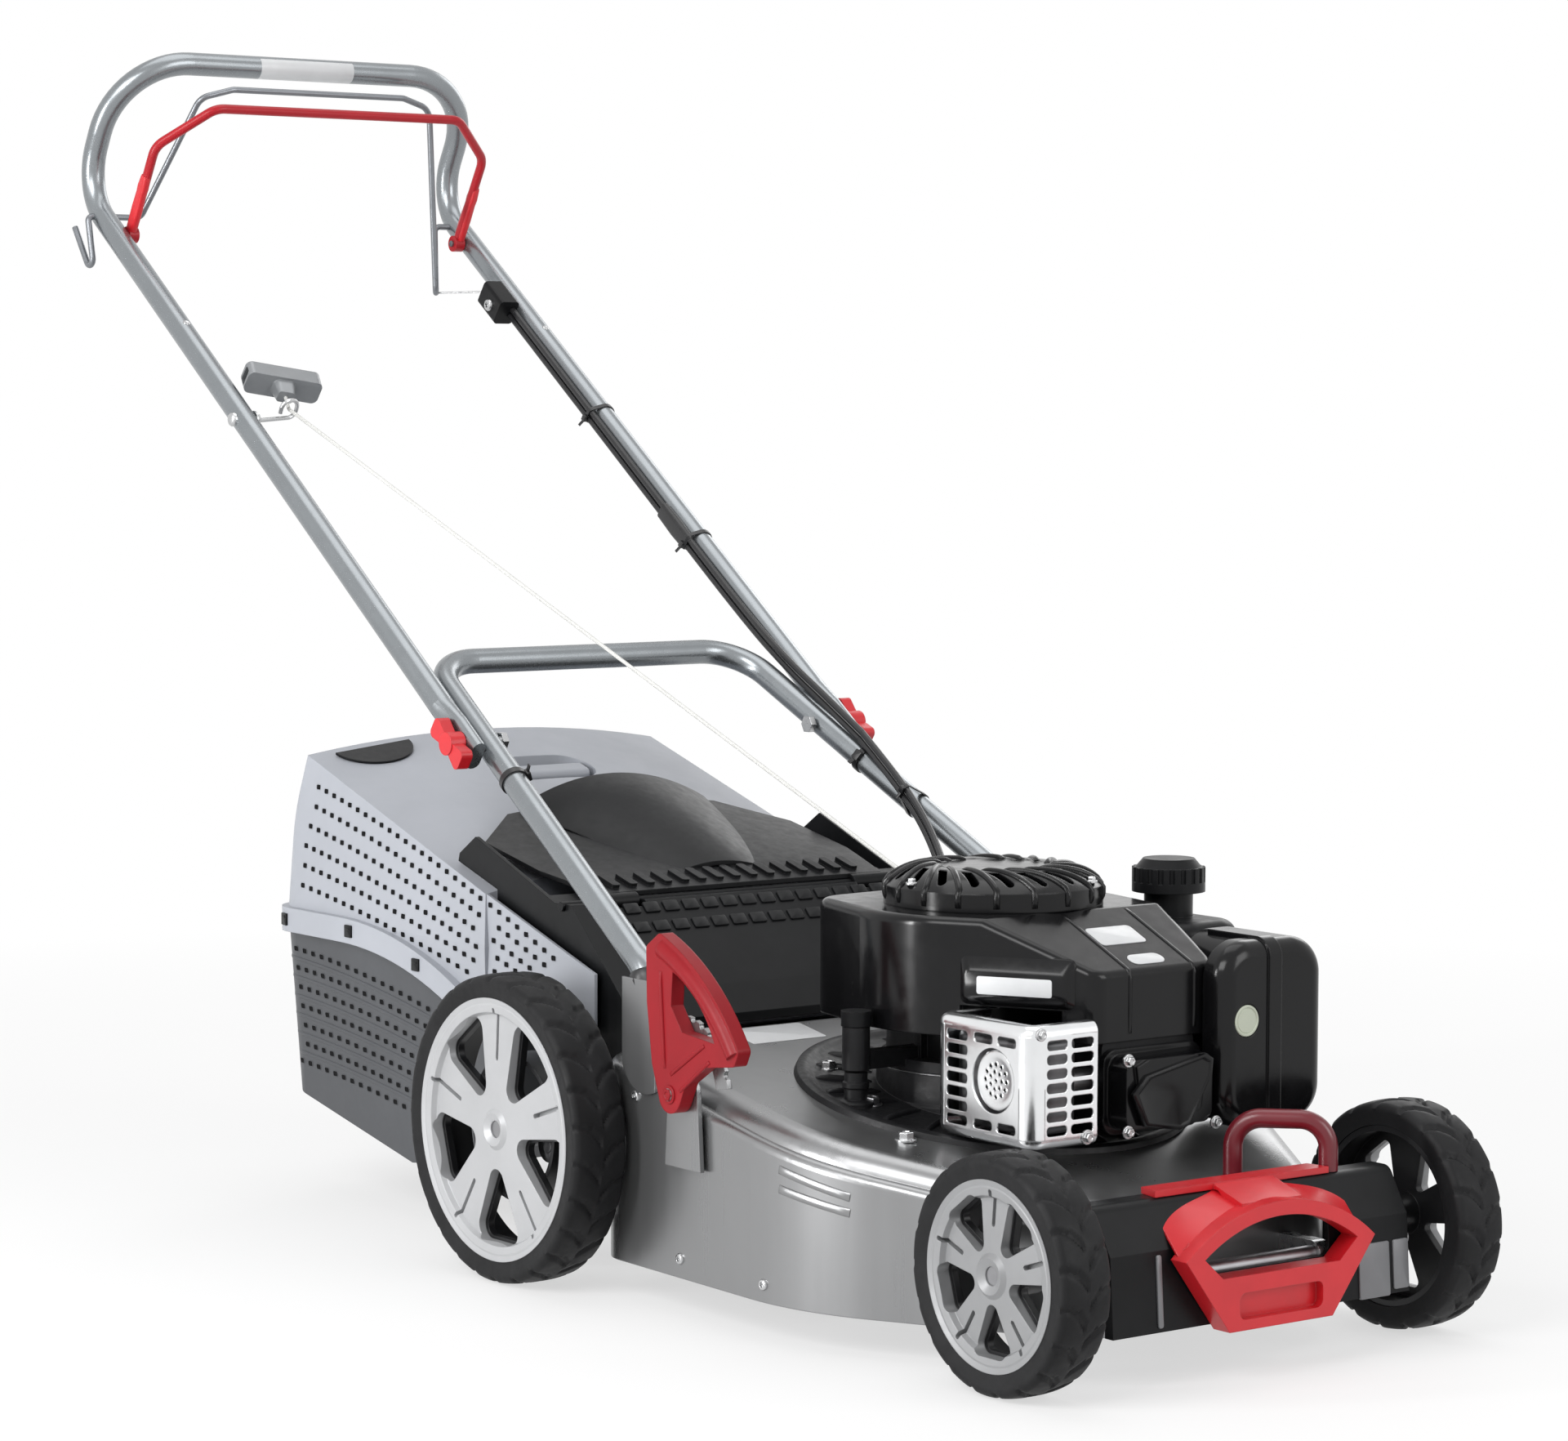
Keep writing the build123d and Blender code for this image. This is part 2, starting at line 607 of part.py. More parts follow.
# Engine: crankcase, finned cylinder with its head, covers, silencer, tank and filter
head_x = crank_x + case_l / 2 + fin_count * fin_pitch
oil_x = crank_x - 6.0
oil_r = 11.0
oil_y = -housing_r - oil_r - 4.0
oil_low_z = engine_seat_z + 4
oil_boss_h = 38.0
with BuildPart() as crankcase:
    with BuildSketch(Plane.XY.offset(engine_seat_z)):
        with Locations((crank_x, 0)):
            Circle(engine_seat_r - 3)
        with Locations((crank_x + case_l / 2, 0)):
            Rectangle(engine_seat_r, 3 * engine_seat_r, align=(Align.MIN, Align.CENTER), mode=Mode.SUBTRACT)
    extrude(amount=9)
    with BuildSketch(Plane.XY.offset(engine_seat_z)):
        with Locations((crank_x, 0)):
            RectangleRounded(case_l, case_w, 30)
    extrude(amount=case_h - 8)
    with BuildSketch(Plane.XY.offset(engine_seat_z)):
        with Locations((crank_x, 0)):
            Circle(case_w / 2 - 22)
    extrude(amount=case_h)
    with BuildSketch(Plane(origin=(crank_x, 0, engine_seat_z + 9))):
        with Locations((0, case_w / 2 + 2), (0, -case_w / 2 - 2), (-case_l / 2 - 2, 0)):
            Rectangle(9, 9)
    extrude(amount=case_h - 26)
    with BuildSketch(Plane.XY.offset(oil_low_z)):
        with Locations((oil_x, oil_y)):
            Circle(oil_r)
    extrude(amount=engine_seat_z + oil_boss_h - oil_low_z)
    with BuildSketch(Plane.XY.offset(oil_low_z)):
        with Locations((oil_x, oil_y)):
            Rectangle(14, -oil_y - case_w / 2 + 10, align=(Align.CENTER, Align.MIN))
    extrude(amount=14)
    with BuildSketch(Plane.XY.offset(engine_seat_z + 12)):
        with Locations((oil_x, oil_y)):
            Circle(5)
    extrude(amount=oil_boss_h, mode=Mode.SUBTRACT)
    with Locations((crank_x, 0, engine_seat_z)):
        Cylinder(shaft_d / 2 + fit_gap, 3 * case_h, mode=Mode.SUBTRACT)
save(crankcase, "crankcase")

cyl_plane = Plane(origin=(crank_x + case_l / 2 + seat_gap, cyl_y, cyl_z), x_dir=(0, 1, 0), z_dir=(1, 0, 0))
with BuildPart() as cylinder:
    with BuildSketch(cyl_plane):
        Circle(34)
    extrude(amount=fin_count * fin_pitch)
    for fin in range(fin_count - 1):
        with BuildSketch(cyl_plane.offset((fin + 0.5) * fin_pitch)):
            RectangleRounded(2 * cyl_half_w, 2 * cyl_half_h, 12)
        extrude(amount=fin_t)
    with BuildSketch(cyl_plane.offset((fin_count - 0.5) * fin_pitch)):
        RectangleRounded(2 * cyl_half_w + 4, 2 * cyl_half_h - 2, 10)
    extrude(amount=head_l)
    with BuildSketch(Plane(origin=(head_x + 12, cyl_y + 12, cyl_z + cyl_half_h - 2))):
        Circle(9)
    extrude(amount=6)
save(cylinder, "cylinder")

rocker_plane = cyl_plane.offset((fin_count - 0.5) * fin_pitch + head_l)
with BuildPart() as rocker_cover:
    with BuildSketch(rocker_plane):
        with Locations((0, -rocker_drop)):
            RectangleRounded(2 * cyl_half_w + 10, rocker_h, 12)
    extrude(amount=6)
    with BuildSketch(rocker_plane.offset(6)):
        with Locations((0, -rocker_drop)):
            RectangleRounded(2 * cyl_half_w + 2, rocker_h - 8, 12)
    extrude(amount=rocker_l - 6, taper=6)
    with BuildSketch(rocker_plane.offset(rocker_l - 1)):
        with BuildLine():
            Polyline((-36, 14), (-24, 19), (24, 19), (36, 14), (30, -24), (0, -34), (-30, -24), close=True)
        make_face()
    extrude(amount=4)
save(rocker_cover, "rocker_cover")

dish_at = (guard_x + 0.62 * guard_l, guard_z + 0.52 * guard_h)
dish_r = 17.0
with BuildPart() as muffler:
    with BuildSketch(Plane.XY.offset(guard_z + 8)):
        with Locations((guard_x + guard_l / 2 - 4, guard_y + guard_w / 2 + 3)):
            RectangleRounded(guard_l - 22, guard_w - 18, 16)
    extrude(amount=guard_h - 20)
    fillet(muffler.edges().filter_by(GeomType.LINE, reverse=True), radius=8)
    with BuildSketch(side_plane(guard_y + guard_w - 24)):
        with Locations((head_x + 12, cyl_z)):
            Circle(10)
    extrude(amount=-(24 + cyl_y - cyl_half_w - guard_y - guard_w - 2 - seat_gap))
    with BuildSketch(side_plane(guard_y + guard_t + seat_gap)):
        with Locations((guard_x + guard_l - 22, guard_z + 26), (guard_x + guard_l - 22, guard_z + 66)):
            Circle(5)
    extrude(amount=-20)
    with BuildSketch(side_plane(guard_y + 4)):
        with Locations(dish_at):
            Circle(dish_r)
    extrude(amount=-20)
    with BuildSketch(side_plane(guard_y + 4)):
        with Locations(dish_at):
            Circle(dish_r - 4)
    extrude(amount=-3, taper=20, mode=Mode.SUBTRACT)
    with BuildSketch(Plane.XY.offset(guard_z + 11)):
        with Locations((guard_x + guard_l / 2 - 4, guard_y + guard_w / 2 + 3)):
            RectangleRounded(guard_l - 38, guard_w - 34, 8)
    extrude(amount=guard_h - 26, mode=Mode.SUBTRACT)
save(muffler, "muffler")



def guard_form(inset, open_y):
    """Round-edged box of the guard; with an inset, its hollow, open below and to the cylinder."""
    with BuildPart() as form:
        with BuildSketch(Plane.XY.offset(guard_z - inset)):
            with Locations((guard_x + guard_l / 2, guard_y + guard_w / 2 + open_y / 2)):
                RectangleRounded(guard_l - 2 * inset, guard_w - 2 * inset + open_y, 10 - inset)
        extrude(amount=guard_h)
        fillet(form.faces().sort_by(Axis.Z)[-1].edges(), radius=8 - inset)
    return form


slot_pitch = 12.5
slot_h = 6.5
with BuildPart() as muffler_guard:
    add(guard_form(0, 0).part)
    add(guard_form(guard_t, 12).part, mode=Mode.SUBTRACT)
    side_mid = (guard_x + guard_l, guard_y + guard_w / 2, guard_z + guard_h / 2 - 2)
    with BuildSketch(Plane(origin=side_mid, x_dir=(0, 1, 0), z_dir=(1, 0, 0))):
        with GridLocations(0, slot_pitch, 1, 6):
            SlotOverall(guard_w - 26, slot_h)
    extrude(amount=-10, mode=Mode.SUBTRACT)
    with BuildSketch(side_plane(guard_y)):
        with Locations((guard_x + 0.26 * guard_l, side_mid[2])):
            with GridLocations(0, slot_pitch, 1, 6):
                SlotOverall(0.3 * guard_l, slot_h)
        with Locations((guard_x + 0.86 * guard_l, side_mid[2])):
            with GridLocations(0, slot_pitch, 1, 6):
                SlotOverall(0.13 * guard_l, slot_h)
        with Locations(dish_at):
            Circle(dish_r + 3)
    extrude(amount=-10, mode=Mode.SUBTRACT)
save(muffler_guard, "muffler_guard")

# Blower housing: a spiral cowl over the flywheel that runs on and slopes down over the cylinder
cowl_x = crank_x + case_l / 2 + 104.0
cowl_mid_y = 22.0
cowl_half_w = 67.0
cowl_corner_r = 17.0
lug_r = 30.0
slope_x = crank_x + recoil_r - 2
cowl_front_z = housing_top_z - 38.0


def housing_form(inset):
    """Outside of the housing, or its hollow when inset by the wall."""
    fall = (housing_top_z - cowl_front_z) / (cowl_x - slope_x)
    slope = Plane(origin=(slope_x, 0, housing_top_z - inset), z_dir=(fall, 0, 1))
    with BuildPart() as form:
        with BuildSketch(Plane.XY.offset(case_top_z - housing_skirt - inset)):
            with Locations((crank_x, 0)):
                Circle(housing_r - inset)
            for side in (-1, 1):
                with Locations((cowl_x - cowl_corner_r, cowl_mid_y + side * (cowl_half_w - cowl_corner_r))):
                    Circle(cowl_corner_r - inset)
            with Locations((crank_x - 84, -72), (crank_x - 40, 82)):
                Circle(lug_r - inset)
            make_hull()
        extrude(amount=housing_h + housing_skirt)
        split(bisect_by=slope, keep=Keep.BOTTOM)
        tops = form.faces().filter_by(lambda face: face.normal_at().Z > 0.5)
        fillet(tops.edges(), radius=7 - inset)
    return form


with BuildPart() as blower_housing:
    add(housing_form(0).part)
    add(housing_form(housing_wall).part, mode=Mode.SUBTRACT)
    with Locations((crank_x, 0, housing_top_z)):
        Cylinder(recoil_r - 14, 60, mode=Mode.SUBTRACT)
    with Locations((guard_x - 3, guard_y + guard_w + 2, guard_z + guard_h + 1.5)):
        Box(200, 200, 60, align=(Align.MIN, Align.MAX, Align.MAX), mode=Mode.SUBTRACT)
    with Locations((crank_x - 60, 8, case_top_z)):
        Box(100, 90, 60, align=(Align.MAX, Align.MIN, Align.MAX), mode=Mode.SUBTRACT)
    for side in (-1, 1):
        with BuildSketch(Plane.XY.offset(case_top_z - 8 + seat_gap)):
            with Locations((crank_x - 30, side * (case_w / 2 - 12))):
                outward = Align.MIN if side > 0 else Align.MAX
                Rectangle(16, housing_r - case_w / 2 + 7, align=(Align.CENTER, outward))
        extrude(amount=9)
save(blower_housing, "blower_housing")

# Recoil starter cover: a dome with long swept cooling slots
recoil_wall = 3.0
with BuildPart() as recoil_cover:
    with BuildSketch(Plane(origin=(crank_x, 0, housing_top_z), x_dir=(1, 0, 0), z_dir=(0, -1, 0))):
        with BuildLine():
            outside = ThreePointArc((recoil_r - 46, recoil_h), (recoil_r - 12, recoil_h - 5),
                                    (recoil_r, recoil_h - 14))
            inside = ThreePointArc((recoil_r - 46, recoil_h - recoil_wall),
                                   (recoil_r - 14, recoil_h - 8), (recoil_r - recoil_wall, recoil_h - 15))
            Polyline(outside @ 1, (recoil_r, 0), (recoil_r - recoil_wall, 0), inside @ 1)
            Polyline(inside @ 0, (0, recoil_h - recoil_wall), (0, recoil_h), outside @ 0)
        make_face()
    revolve(axis=Axis((crank_x, 0, 0), (0, 0, 1)))
    with BuildSketch(Plane(origin=(crank_x, 0, housing_top_z + recoil_h))):
        with PolarLocations(recoil_r - 27, recoil_slots):
            with Locations(Rotation(0, 0, 40)):
                SlotOverall(50, 7)
    extrude(amount=recoil_wall - recoil_h + 6, mode=Mode.SUBTRACT)
save(recoil_cover, "recoil_cover")

with BuildPart() as recoil_reel:
    with BuildSketch(Plane(origin=(crank_x, 0, housing_top_z), x_dir=(1, 0, 0), z_dir=(0, -1, 0))):
        with BuildLine():
            Polyline((0, 4), (reel_r, 4), (reel_r, 7), (reel_r - 6, 8), (reel_r - 6, 16), (reel_r, 17),
                     (reel_r, 20), (0, 20), close=True)
        make_face()
    revolve(axis=Axis((crank_x, 0, 0), (0, 0, 1)))
    with Locations((crank_x, 0, housing_top_z + 20)):
        Cylinder(7, recoil_h - recoil_wall - 20 - seat_gap, align=(Align.CENTER, Align.CENTER, Align.MIN))
save(recoil_reel, "recoil_reel")

# Fuel tank beside the cowl, with its screw cap
tank_x = crank_x + 18.0
tank_y = 160.0
tank_l = 136.0
tank_w = 76.0
tank_low_z = 222.0
tank_h = 82.0
neck_r = 20.0
neck_h = 28.0
cap_r = 30.0
cap_h = 24.0
with BuildPart() as fuel_tank:
    with BuildSketch(Plane.XY.offset(tank_low_z)):
        with Locations((tank_x, tank_y)):
            RectangleRounded(tank_l, tank_w, 24)
    extrude(amount=tank_h)
    fillet(fuel_tank.faces().sort_by(Axis.Z)[-1].edges(), radius=14)
    with BuildSketch(Plane.XY.offset(tank_low_z + tank_h)):
        with Locations((tank_x + 12, tank_y)):
            Circle(neck_r)
    extrude(amount=neck_h)
    with Locations((tank_x + 12, tank_y, tank_low_z + tank_h + neck_h)):
        Cylinder(neck_r - 4, 60, align=(Align.CENTER, Align.CENTER, Align.MAX), mode=Mode.SUBTRACT)
    with BuildSketch(Plane.XY.offset(tank_low_z)):
        with Locations((tank_x - 46, case_w / 2 + seat_gap)):
            Rectangle(30, tank_y - tank_w / 2 - case_w / 2 + 4, align=(Align.CENTER, Align.MIN))
    extrude(amount=9)
save(fuel_tank, "fuel_tank")

cap_seat_z = tank_low_z + tank_h + neck_h
with BuildPart() as fuel_cap:
    with BuildSketch(Plane.XY.offset(cap_seat_z + run_gap)):
        with Locations((tank_x + 12, tank_y)):
            Circle(cap_r)
    extrude(amount=cap_h - 12)
    with BuildSketch(Plane(origin=(tank_x + 12, tank_y, cap_seat_z + run_gap))):
        with PolarLocations(cap_r, 20):
            Circle(2.2)
    extrude(amount=cap_h - 12, mode=Mode.SUBTRACT)
    with BuildSketch(Plane.XY.offset(cap_seat_z + run_gap + cap_h - 12)):
        with Locations((tank_x + 12, tank_y)):
            Circle(cap_r - 3)
    extrude(amount=7, taper=40)
    with BuildSketch(Plane.XY.offset(cap_seat_z + run_gap)):
        with Locations((tank_x + 12, tank_y)):
            Circle(cap_r)
            Circle(neck_r + run_gap, mode=Mode.SUBTRACT)
    extrude(amount=-8)
    with BuildSketch(Plane.XY.offset(cap_seat_z + run_gap)):
        with Locations((tank_x + 12, tank_y)):
            Circle(neck_r - 4 - run_gap)
    extrude(amount=-6)
save(fuel_cap, "fuel_cap")

# Air filter box on the left of the head: a body and a lid with a strap over their joint
filter_x = crank_x + 112.0
filter_l = 86.0
filter_y = 100.0
filter_w = 78.0
filter_z = 157.0
filter_h = 147.0
filter_lip = 31.0        # the front of the body reaches this far in front of the cowl
filter_front_t = 24.0
strap_w = 13.0
filter_mid_z = filter_z + filter_h / 2
with BuildPart() as air_filter:
    back = Plane(origin=(filter_x, filter_y + filter_w / 2, filter_mid_z), x_dir=(0, 1, 0), z_dir=(1, 0, 0))
    with BuildSketch(back):
        RectangleRounded(filter_w, filter_h, 30)
    extrude(amount=filter_l)
    with BuildSketch(back.offset(filter_l - filter_front_t)):
        with Locations((-filter_lip / 2, 0)):
            RectangleRounded(filter_w + filter_lip, filter_h, 30)
    extrude(amount=filter_front_t)
    fillet(air_filter.faces().sort_by(Axis.X)[-1].edges(), radius=14)
    badge = Plane(origin=(filter_x + filter_l, filter_y - 6, filter_mid_z + 12), x_dir=(0, 1, 0),
                  z_dir=(1, 0, 0))
    with BuildSketch(badge):
        Circle(13)
    extrude(amount=-1.5, mode=Mode.SUBTRACT)
    with BuildSketch(Plane(origin=(head_x + 12, filter_y + 10, cyl_z), x_dir=(1, 0, 0), z_dir=(0, -1, 0))):
        Circle(15)
    extrude(amount=10 + filter_y - cyl_y - cyl_half_w - 2 - seat_gap)
    strap_mid = (filter_x + filter_l / 2, filter_y + 16, filter_mid_z)
    with BuildSketch(Plane(origin=strap_mid, x_dir=(1, 0, 0), z_dir=(0, 1, 0))):
        RectangleRounded(filter_l + 4, filter_h + 4, 16)
        with Locations((-filter_l / 2, 0)):
            Rectangle(30, 2 * filter_h, mode=Mode.SUBTRACT)
    extrude(amount=strap_w)
    with BuildSketch(back.offset(6)):
        RectangleRounded(filter_w - 12, filter_h - 12, 24)
    extrude(amount=filter_l - 22, mode=Mode.SUBTRACT)
save(air_filter, "air_filter")

# Dipstick cap on the oil filler boss
with BuildPart() as dipstick:
    with BuildSketch(Plane.XY.offset(engine_seat_z + oil_boss_h + run_gap)):
        with Locations((oil_x, oil_y)):
            Circle(oil_r + 1)
    extrude(amount=12)
    with BuildSketch(Plane.XY.offset(engine_seat_z + oil_boss_h + run_gap)):
        with Locations((oil_x, oil_y)):
            Circle(5 - run_gap)
    extrude(amount=-20)
save(dipstick, "dipstick")


# Front cover between the front wheels, and the red carry grip in its face
grip_half_w = 95.0
grip_low_z = 40.0
grip_side_z = 97.0
grip_top_z = 133.0
grip_taper = 43.0
grip_depth = 18.0
cover_half_w = 150.0
cover_wall = 3.0
cover_nose_x = front_axle_x + 58.0
cover_rear_x = deck_front_x + seat_gap
cover_low_z = 44.0
cover_top_z = 138.0
with BuildPart() as front_cover:
    with BuildSketch(side_plane(0)):
        with BuildLine():
            Polyline((cover_rear_x, cover_low_z), (cover_rear_x, cover_top_z),
                     (cover_nose_x - 24, cover_top_z),
                     (cover_nose_x - 4, cover_top_z - 34), (cover_nose_x, cover_low_z), close=True)
        make_face()
    extrude(amount=cover_half_w, both=True)
    fillet(front_cover.edges().filter_by(Axis.Y).sort_by(Axis.Z)[-2:], radius=10)
    with BuildSketch(side_plane(0)):
        with BuildLine():
            Polyline((cover_rear_x - 1, cover_low_z - 1), (cover_rear_x - 1, cover_top_z - cover_wall),
                     (cover_nose_x - 25 - cover_wall, cover_top_z - cover_wall),
                     (cover_nose_x - 5 - cover_wall, cover_top_z - 35),
                     (cover_nose_x - cover_wall, cover_low_z - 1),
                     close=True)
        make_face()
    extrude(amount=cover_half_w - cover_wall, both=True, mode=Mode.SUBTRACT)
    with BuildSketch(side_plane(0)):
        with Locations((front_pivot_x, front_pivot_z)):
            Circle(axle_r + run_gap + 0.6)
        with Locations((front_pivot_x, front_pivot_z - 40)):
            Rectangle(axle_d + 2, 80)
    extrude(amount=cover_half_w + 5, both=True, mode=Mode.SUBTRACT)
    with BuildSketch(Plane(origin=(cover_nose_x, 0, 0), x_dir=(0, 1, 0), z_dir=(1, 0, 0))):
        with Locations((0, (grip_side_z - 16 + grip_top_z - 18) / 2)):
            RectangleRounded(2 * grip_half_w - 56, grip_top_z - grip_side_z - 2, 8)
    extrude(amount=20, both=True, mode=Mode.SUBTRACT)
save(front_cover, "front_cover")

grip_x = cover_nose_x + seat_gap
with BuildPart() as carry_grip:
    with BuildSketch(Plane(origin=(grip_x, 0, 0), x_dir=(0, 1, 0), z_dir=(1, 0, 0))):
        with BuildLine():
            rim_line = Polyline((-grip_half_w, grip_side_z), (-grip_half_w + grip_taper, grip_low_z),
                                (grip_half_w - grip_taper, grip_low_z), (grip_half_w, grip_side_z))
            ThreePointArc(rim_line @ 1, (0, grip_top_z), rim_line @ 0)
        make_face()
    extrude(amount=grip_depth)
    with BuildSketch(Plane(origin=(grip_x + grip_depth, 0, 0), x_dir=(0, 1, 0), z_dir=(1, 0, 0))):
        with BuildLine():
            hole_line = Polyline((-grip_half_w + 18, grip_side_z), (-grip_half_w + 36, grip_side_z - 16),
                                 (grip_half_w - 36, grip_side_z - 16), (grip_half_w - 18, grip_side_z))
            ThreePointArc(hole_line @ 1, (0, grip_top_z - 11), hole_line @ 0)
        make_face()
    extrude(amount=-grip_depth, mode=Mode.SUBTRACT)
    with BuildSketch(Plane(origin=(grip_x + grip_depth, 0, 0), x_dir=(0, 1, 0), z_dir=(1, 0, 0))):
        with Locations((0, grip_low_z + 18)):
            RectangleRounded(84, 20, 6)
    extrude(amount=-8, mode=Mode.SUBTRACT)
    with BuildSketch(Plane.XY.offset(cover_top_z + seat_gap)):
        with BuildLine():
            Polyline((grip_x - 46, -84), (grip_x - 46, 84), (grip_x - 26, 88), (grip_x - 26, -88), close=True)
        make_face()
    extrude(amount=5)
    with BuildSketch(side_plane(0)):
        with BuildLine():
            Polyline((grip_x - 28, cover_top_z + seat_gap), (grip_x - 28, cover_top_z + 5),
                     (grip_x + 6, grip_top_z - 1), (grip_x + 6, grip_top_z - 14),
                     (grip_x + seat_gap, grip_top_z - 14), (grip_x - 21, cover_top_z + seat_gap), close=True)
        make_face()
    extrude(amount=30, both=True)
save(carry_grip, "carry_grip")

# Curved lifting bow between the deck and the front cover
bow_d = 15.0
bow_r = 22.0
bow_top_z = 177.0
deck_plane = Plane(origin=(crank_x, 0, deck_top_z), z_dir=(sin(radians(deck_fall)), 0,
                                                           cos(radians(deck_fall))))
bow_path = [(front_axle_x - 28, 44, deck_top_z - 60), (front_axle_x - 28, 44, bow_top_z),
            (front_axle_x + 24, 95, bow_top_z), (front_axle_x + 24, 95, cover_top_z + seat_gap)]
with BuildPart() as front_bow:
    with BuildLine():
        FilletPolyline(*bow_path, radius=bow_r)
    with BuildSketch(Plane(origin=bow_path[0])):
        Circle(bow_d / 2)
    sweep()
    split(bisect_by=deck_plane.offset(seat_gap), keep=Keep.TOP)
save(front_bow, "front_bow")


# Lower handle: a U of tube that stands in brackets on the deck
lower_path = [
    (foot_x, -foot_y, foot_z), (leg_bend_x, -foot_y, leg_bend_z), (cross_x, -cross_y, cross_z),
    (cross_x, cross_y, cross_z), (leg_bend_x, foot_y, leg_bend_z), (foot_x, foot_y, foot_z),
]
lower_start = Plane(origin=lower_path[0], z_dir=Vector(*lower_path[1]) - Vector(*lower_path[0]))
with BuildPart() as lower_handle:
    with BuildLine():
        FilletPolyline(*lower_path, radius=[40, 48, 48, 40])
    with BuildSketch(lower_start):
        Circle(tube_d / 2)
        Circle(tube_d / 2 - tube_wall, mode=Mode.SUBTRACT)
    sweep()
    with BuildSketch(side_plane(0)):
        with Locations((fold_x, fold_z)):
            Circle(fold_bolt_d / 2 + fit_gap)
    extrude(amount=2 * foot_y, both=True, mode=Mode.SUBTRACT)
save(lower_handle, "lower_handle")

bracket_l = 46.0
bracket_top_z = 262.0
bracket_t = 2.5
bracket_low_z = 168.0
bracket_flange = 24.0
bracket_y = foot_y + tube_d / 2 + seat_gap
with BuildPart() as handle_brackets:
    for side in (-1, 1):
        inward = Align.MAX if side > 0 else Align.MIN
        with BuildSketch(side_plane(side * bracket_y)):
            with BuildLine():
                sides = Polyline((foot_x - bracket_l / 2, bracket_low_z + 26),
                                 (foot_x - bracket_l / 2, bracket_top_z),
                                 (foot_x + bracket_l / 2, bracket_top_z),
                                 (foot_x + bracket_l / 2, bracket_low_z + 6))
                ThreePointArc(sides @ 1, (foot_x - 2, bracket_low_z + 4), sides @ 0)
            make_face()
        extrude(amount=-side * bracket_t)
        with BuildSketch(Plane.XY.offset(foot_z + 5)):
            with Locations((foot_x + bracket_l / 2, side * (bracket_y + bracket_t))):
                Rectangle(bracket_t, bracket_flange, align=(Align.MAX, inward))
        extrude(amount=bracket_top_z - foot_z - 5)
        with BuildSketch(Plane.XY.offset(foot_z + 5)):
            with Locations((foot_x - bracket_l / 2, side * (bracket_y + bracket_t))):
                Rectangle(bracket_t, bracket_flange, align=(Align.MIN, inward))
        extrude(amount=bracket_top_z - foot_z - 30)
save(handle_brackets, "handle_brackets")

# Upper handle: one bent tube, its lower ends pressed flat and bolted outside the lower U
tab_start = Vector(fold_x, 0, fold_z) + upper_dir * 44
upper_path = [
    (tab_start.X, -upper_y, tab_start.Z), (grip_bend_x, -upper_y, grip_bend_z),
    (grip_bar_x, -upper_y, grip_bar_z),
    (grip_bar_x, upper_y, grip_bar_z), (grip_bend_x, upper_y, grip_bend_z),
    (tab_start.X, upper_y, tab_start.Z),
]
with BuildPart() as upper_handle:
    with BuildLine():
        FilletPolyline(*upper_path, radius=[grip_bend_r, grip_corner_r, grip_corner_r, grip_bend_r])
    with BuildSketch(Plane(origin=upper_path[0], z_dir=upper_dir)):
        Circle(tube_d / 2)
        Circle(tube_d / 2 - tube_wall, mode=Mode.SUBTRACT)
    sweep()
    for side in (-1, 1):
        tab_plane = Plane(origin=(fold_x, side * upper_y, fold_z), x_dir=(0, 1, 0), z_dir=upper_dir)
        with BuildSketch(tab_plane.offset(18)):
            SlotOverall(tab_w, tab_t, rotation=90)
        with BuildSketch(tab_plane.offset(48)):
            Circle(tube_d / 2)
        loft()
        with BuildSketch(tab_plane.offset(18)):
            SlotOverall(tab_w, tab_t, rotation=90)
        extrude(amount=-36)
    with BuildSketch(side_plane(0)):
        with Locations((fold_x, fold_z)):
            Circle(fold_bolt_d / 2 + fit_gap)
        with Locations((wire_pivot_x, wire_pivot_z)):
            Circle(wire_d / 2 + fit_gap)
    extrude(amount=2 * upper_y, both=True, mode=Mode.SUBTRACT)
    for side in (-1, 1):
        with BuildSketch(side_plane(side * (upper_y - tube_d / 2 + 2))):
            with Locations((bail_pivot_x, bail_pivot_z)):
                Circle(bail_pin_d / 2)
        extrude(amount=side * (bail_boss_w + 4 + run_gap))
save(upper_handle, "upper_handle")


# Fold bolts through both tubes, with a washer between them, and the red wing nuts outside
nut_gap = run_gap
nut_h = 15.0
nut_r = 10.0
wing_l = 52.0
wing_w = 22.0
nut_y = upper_y + tab_t / 2 + nut_gap
with BuildPart() as fold_bolts:
    for side in (-1, 1):
        with BuildSketch(side_plane(side * (fold_leg_y - tube_d / 2 - 7))):
            with Locations((fold_x, fold_z)):
                Circle(fold_bolt_d / 2)
        extrude(amount=-side * (nut_y + nut_h - 3 - fold_leg_y + tube_d / 2 + 7))
        with BuildSketch(side_plane(side * (fold_leg_y - tube_d / 2 - 7))):
            with Locations((fold_x, fold_z)):
                RegularPolygon(8, 6)
        extrude(amount=-side * 5.5)
        with BuildSketch(side_plane(side * (upper_y - tab_t / 2 - seat_gap))):
            with Locations((fold_x, fold_z)):
                Circle(6.5)
        extrude(amount=side * (fold_spacer - 1))
save(fold_bolts, "fold_bolts")


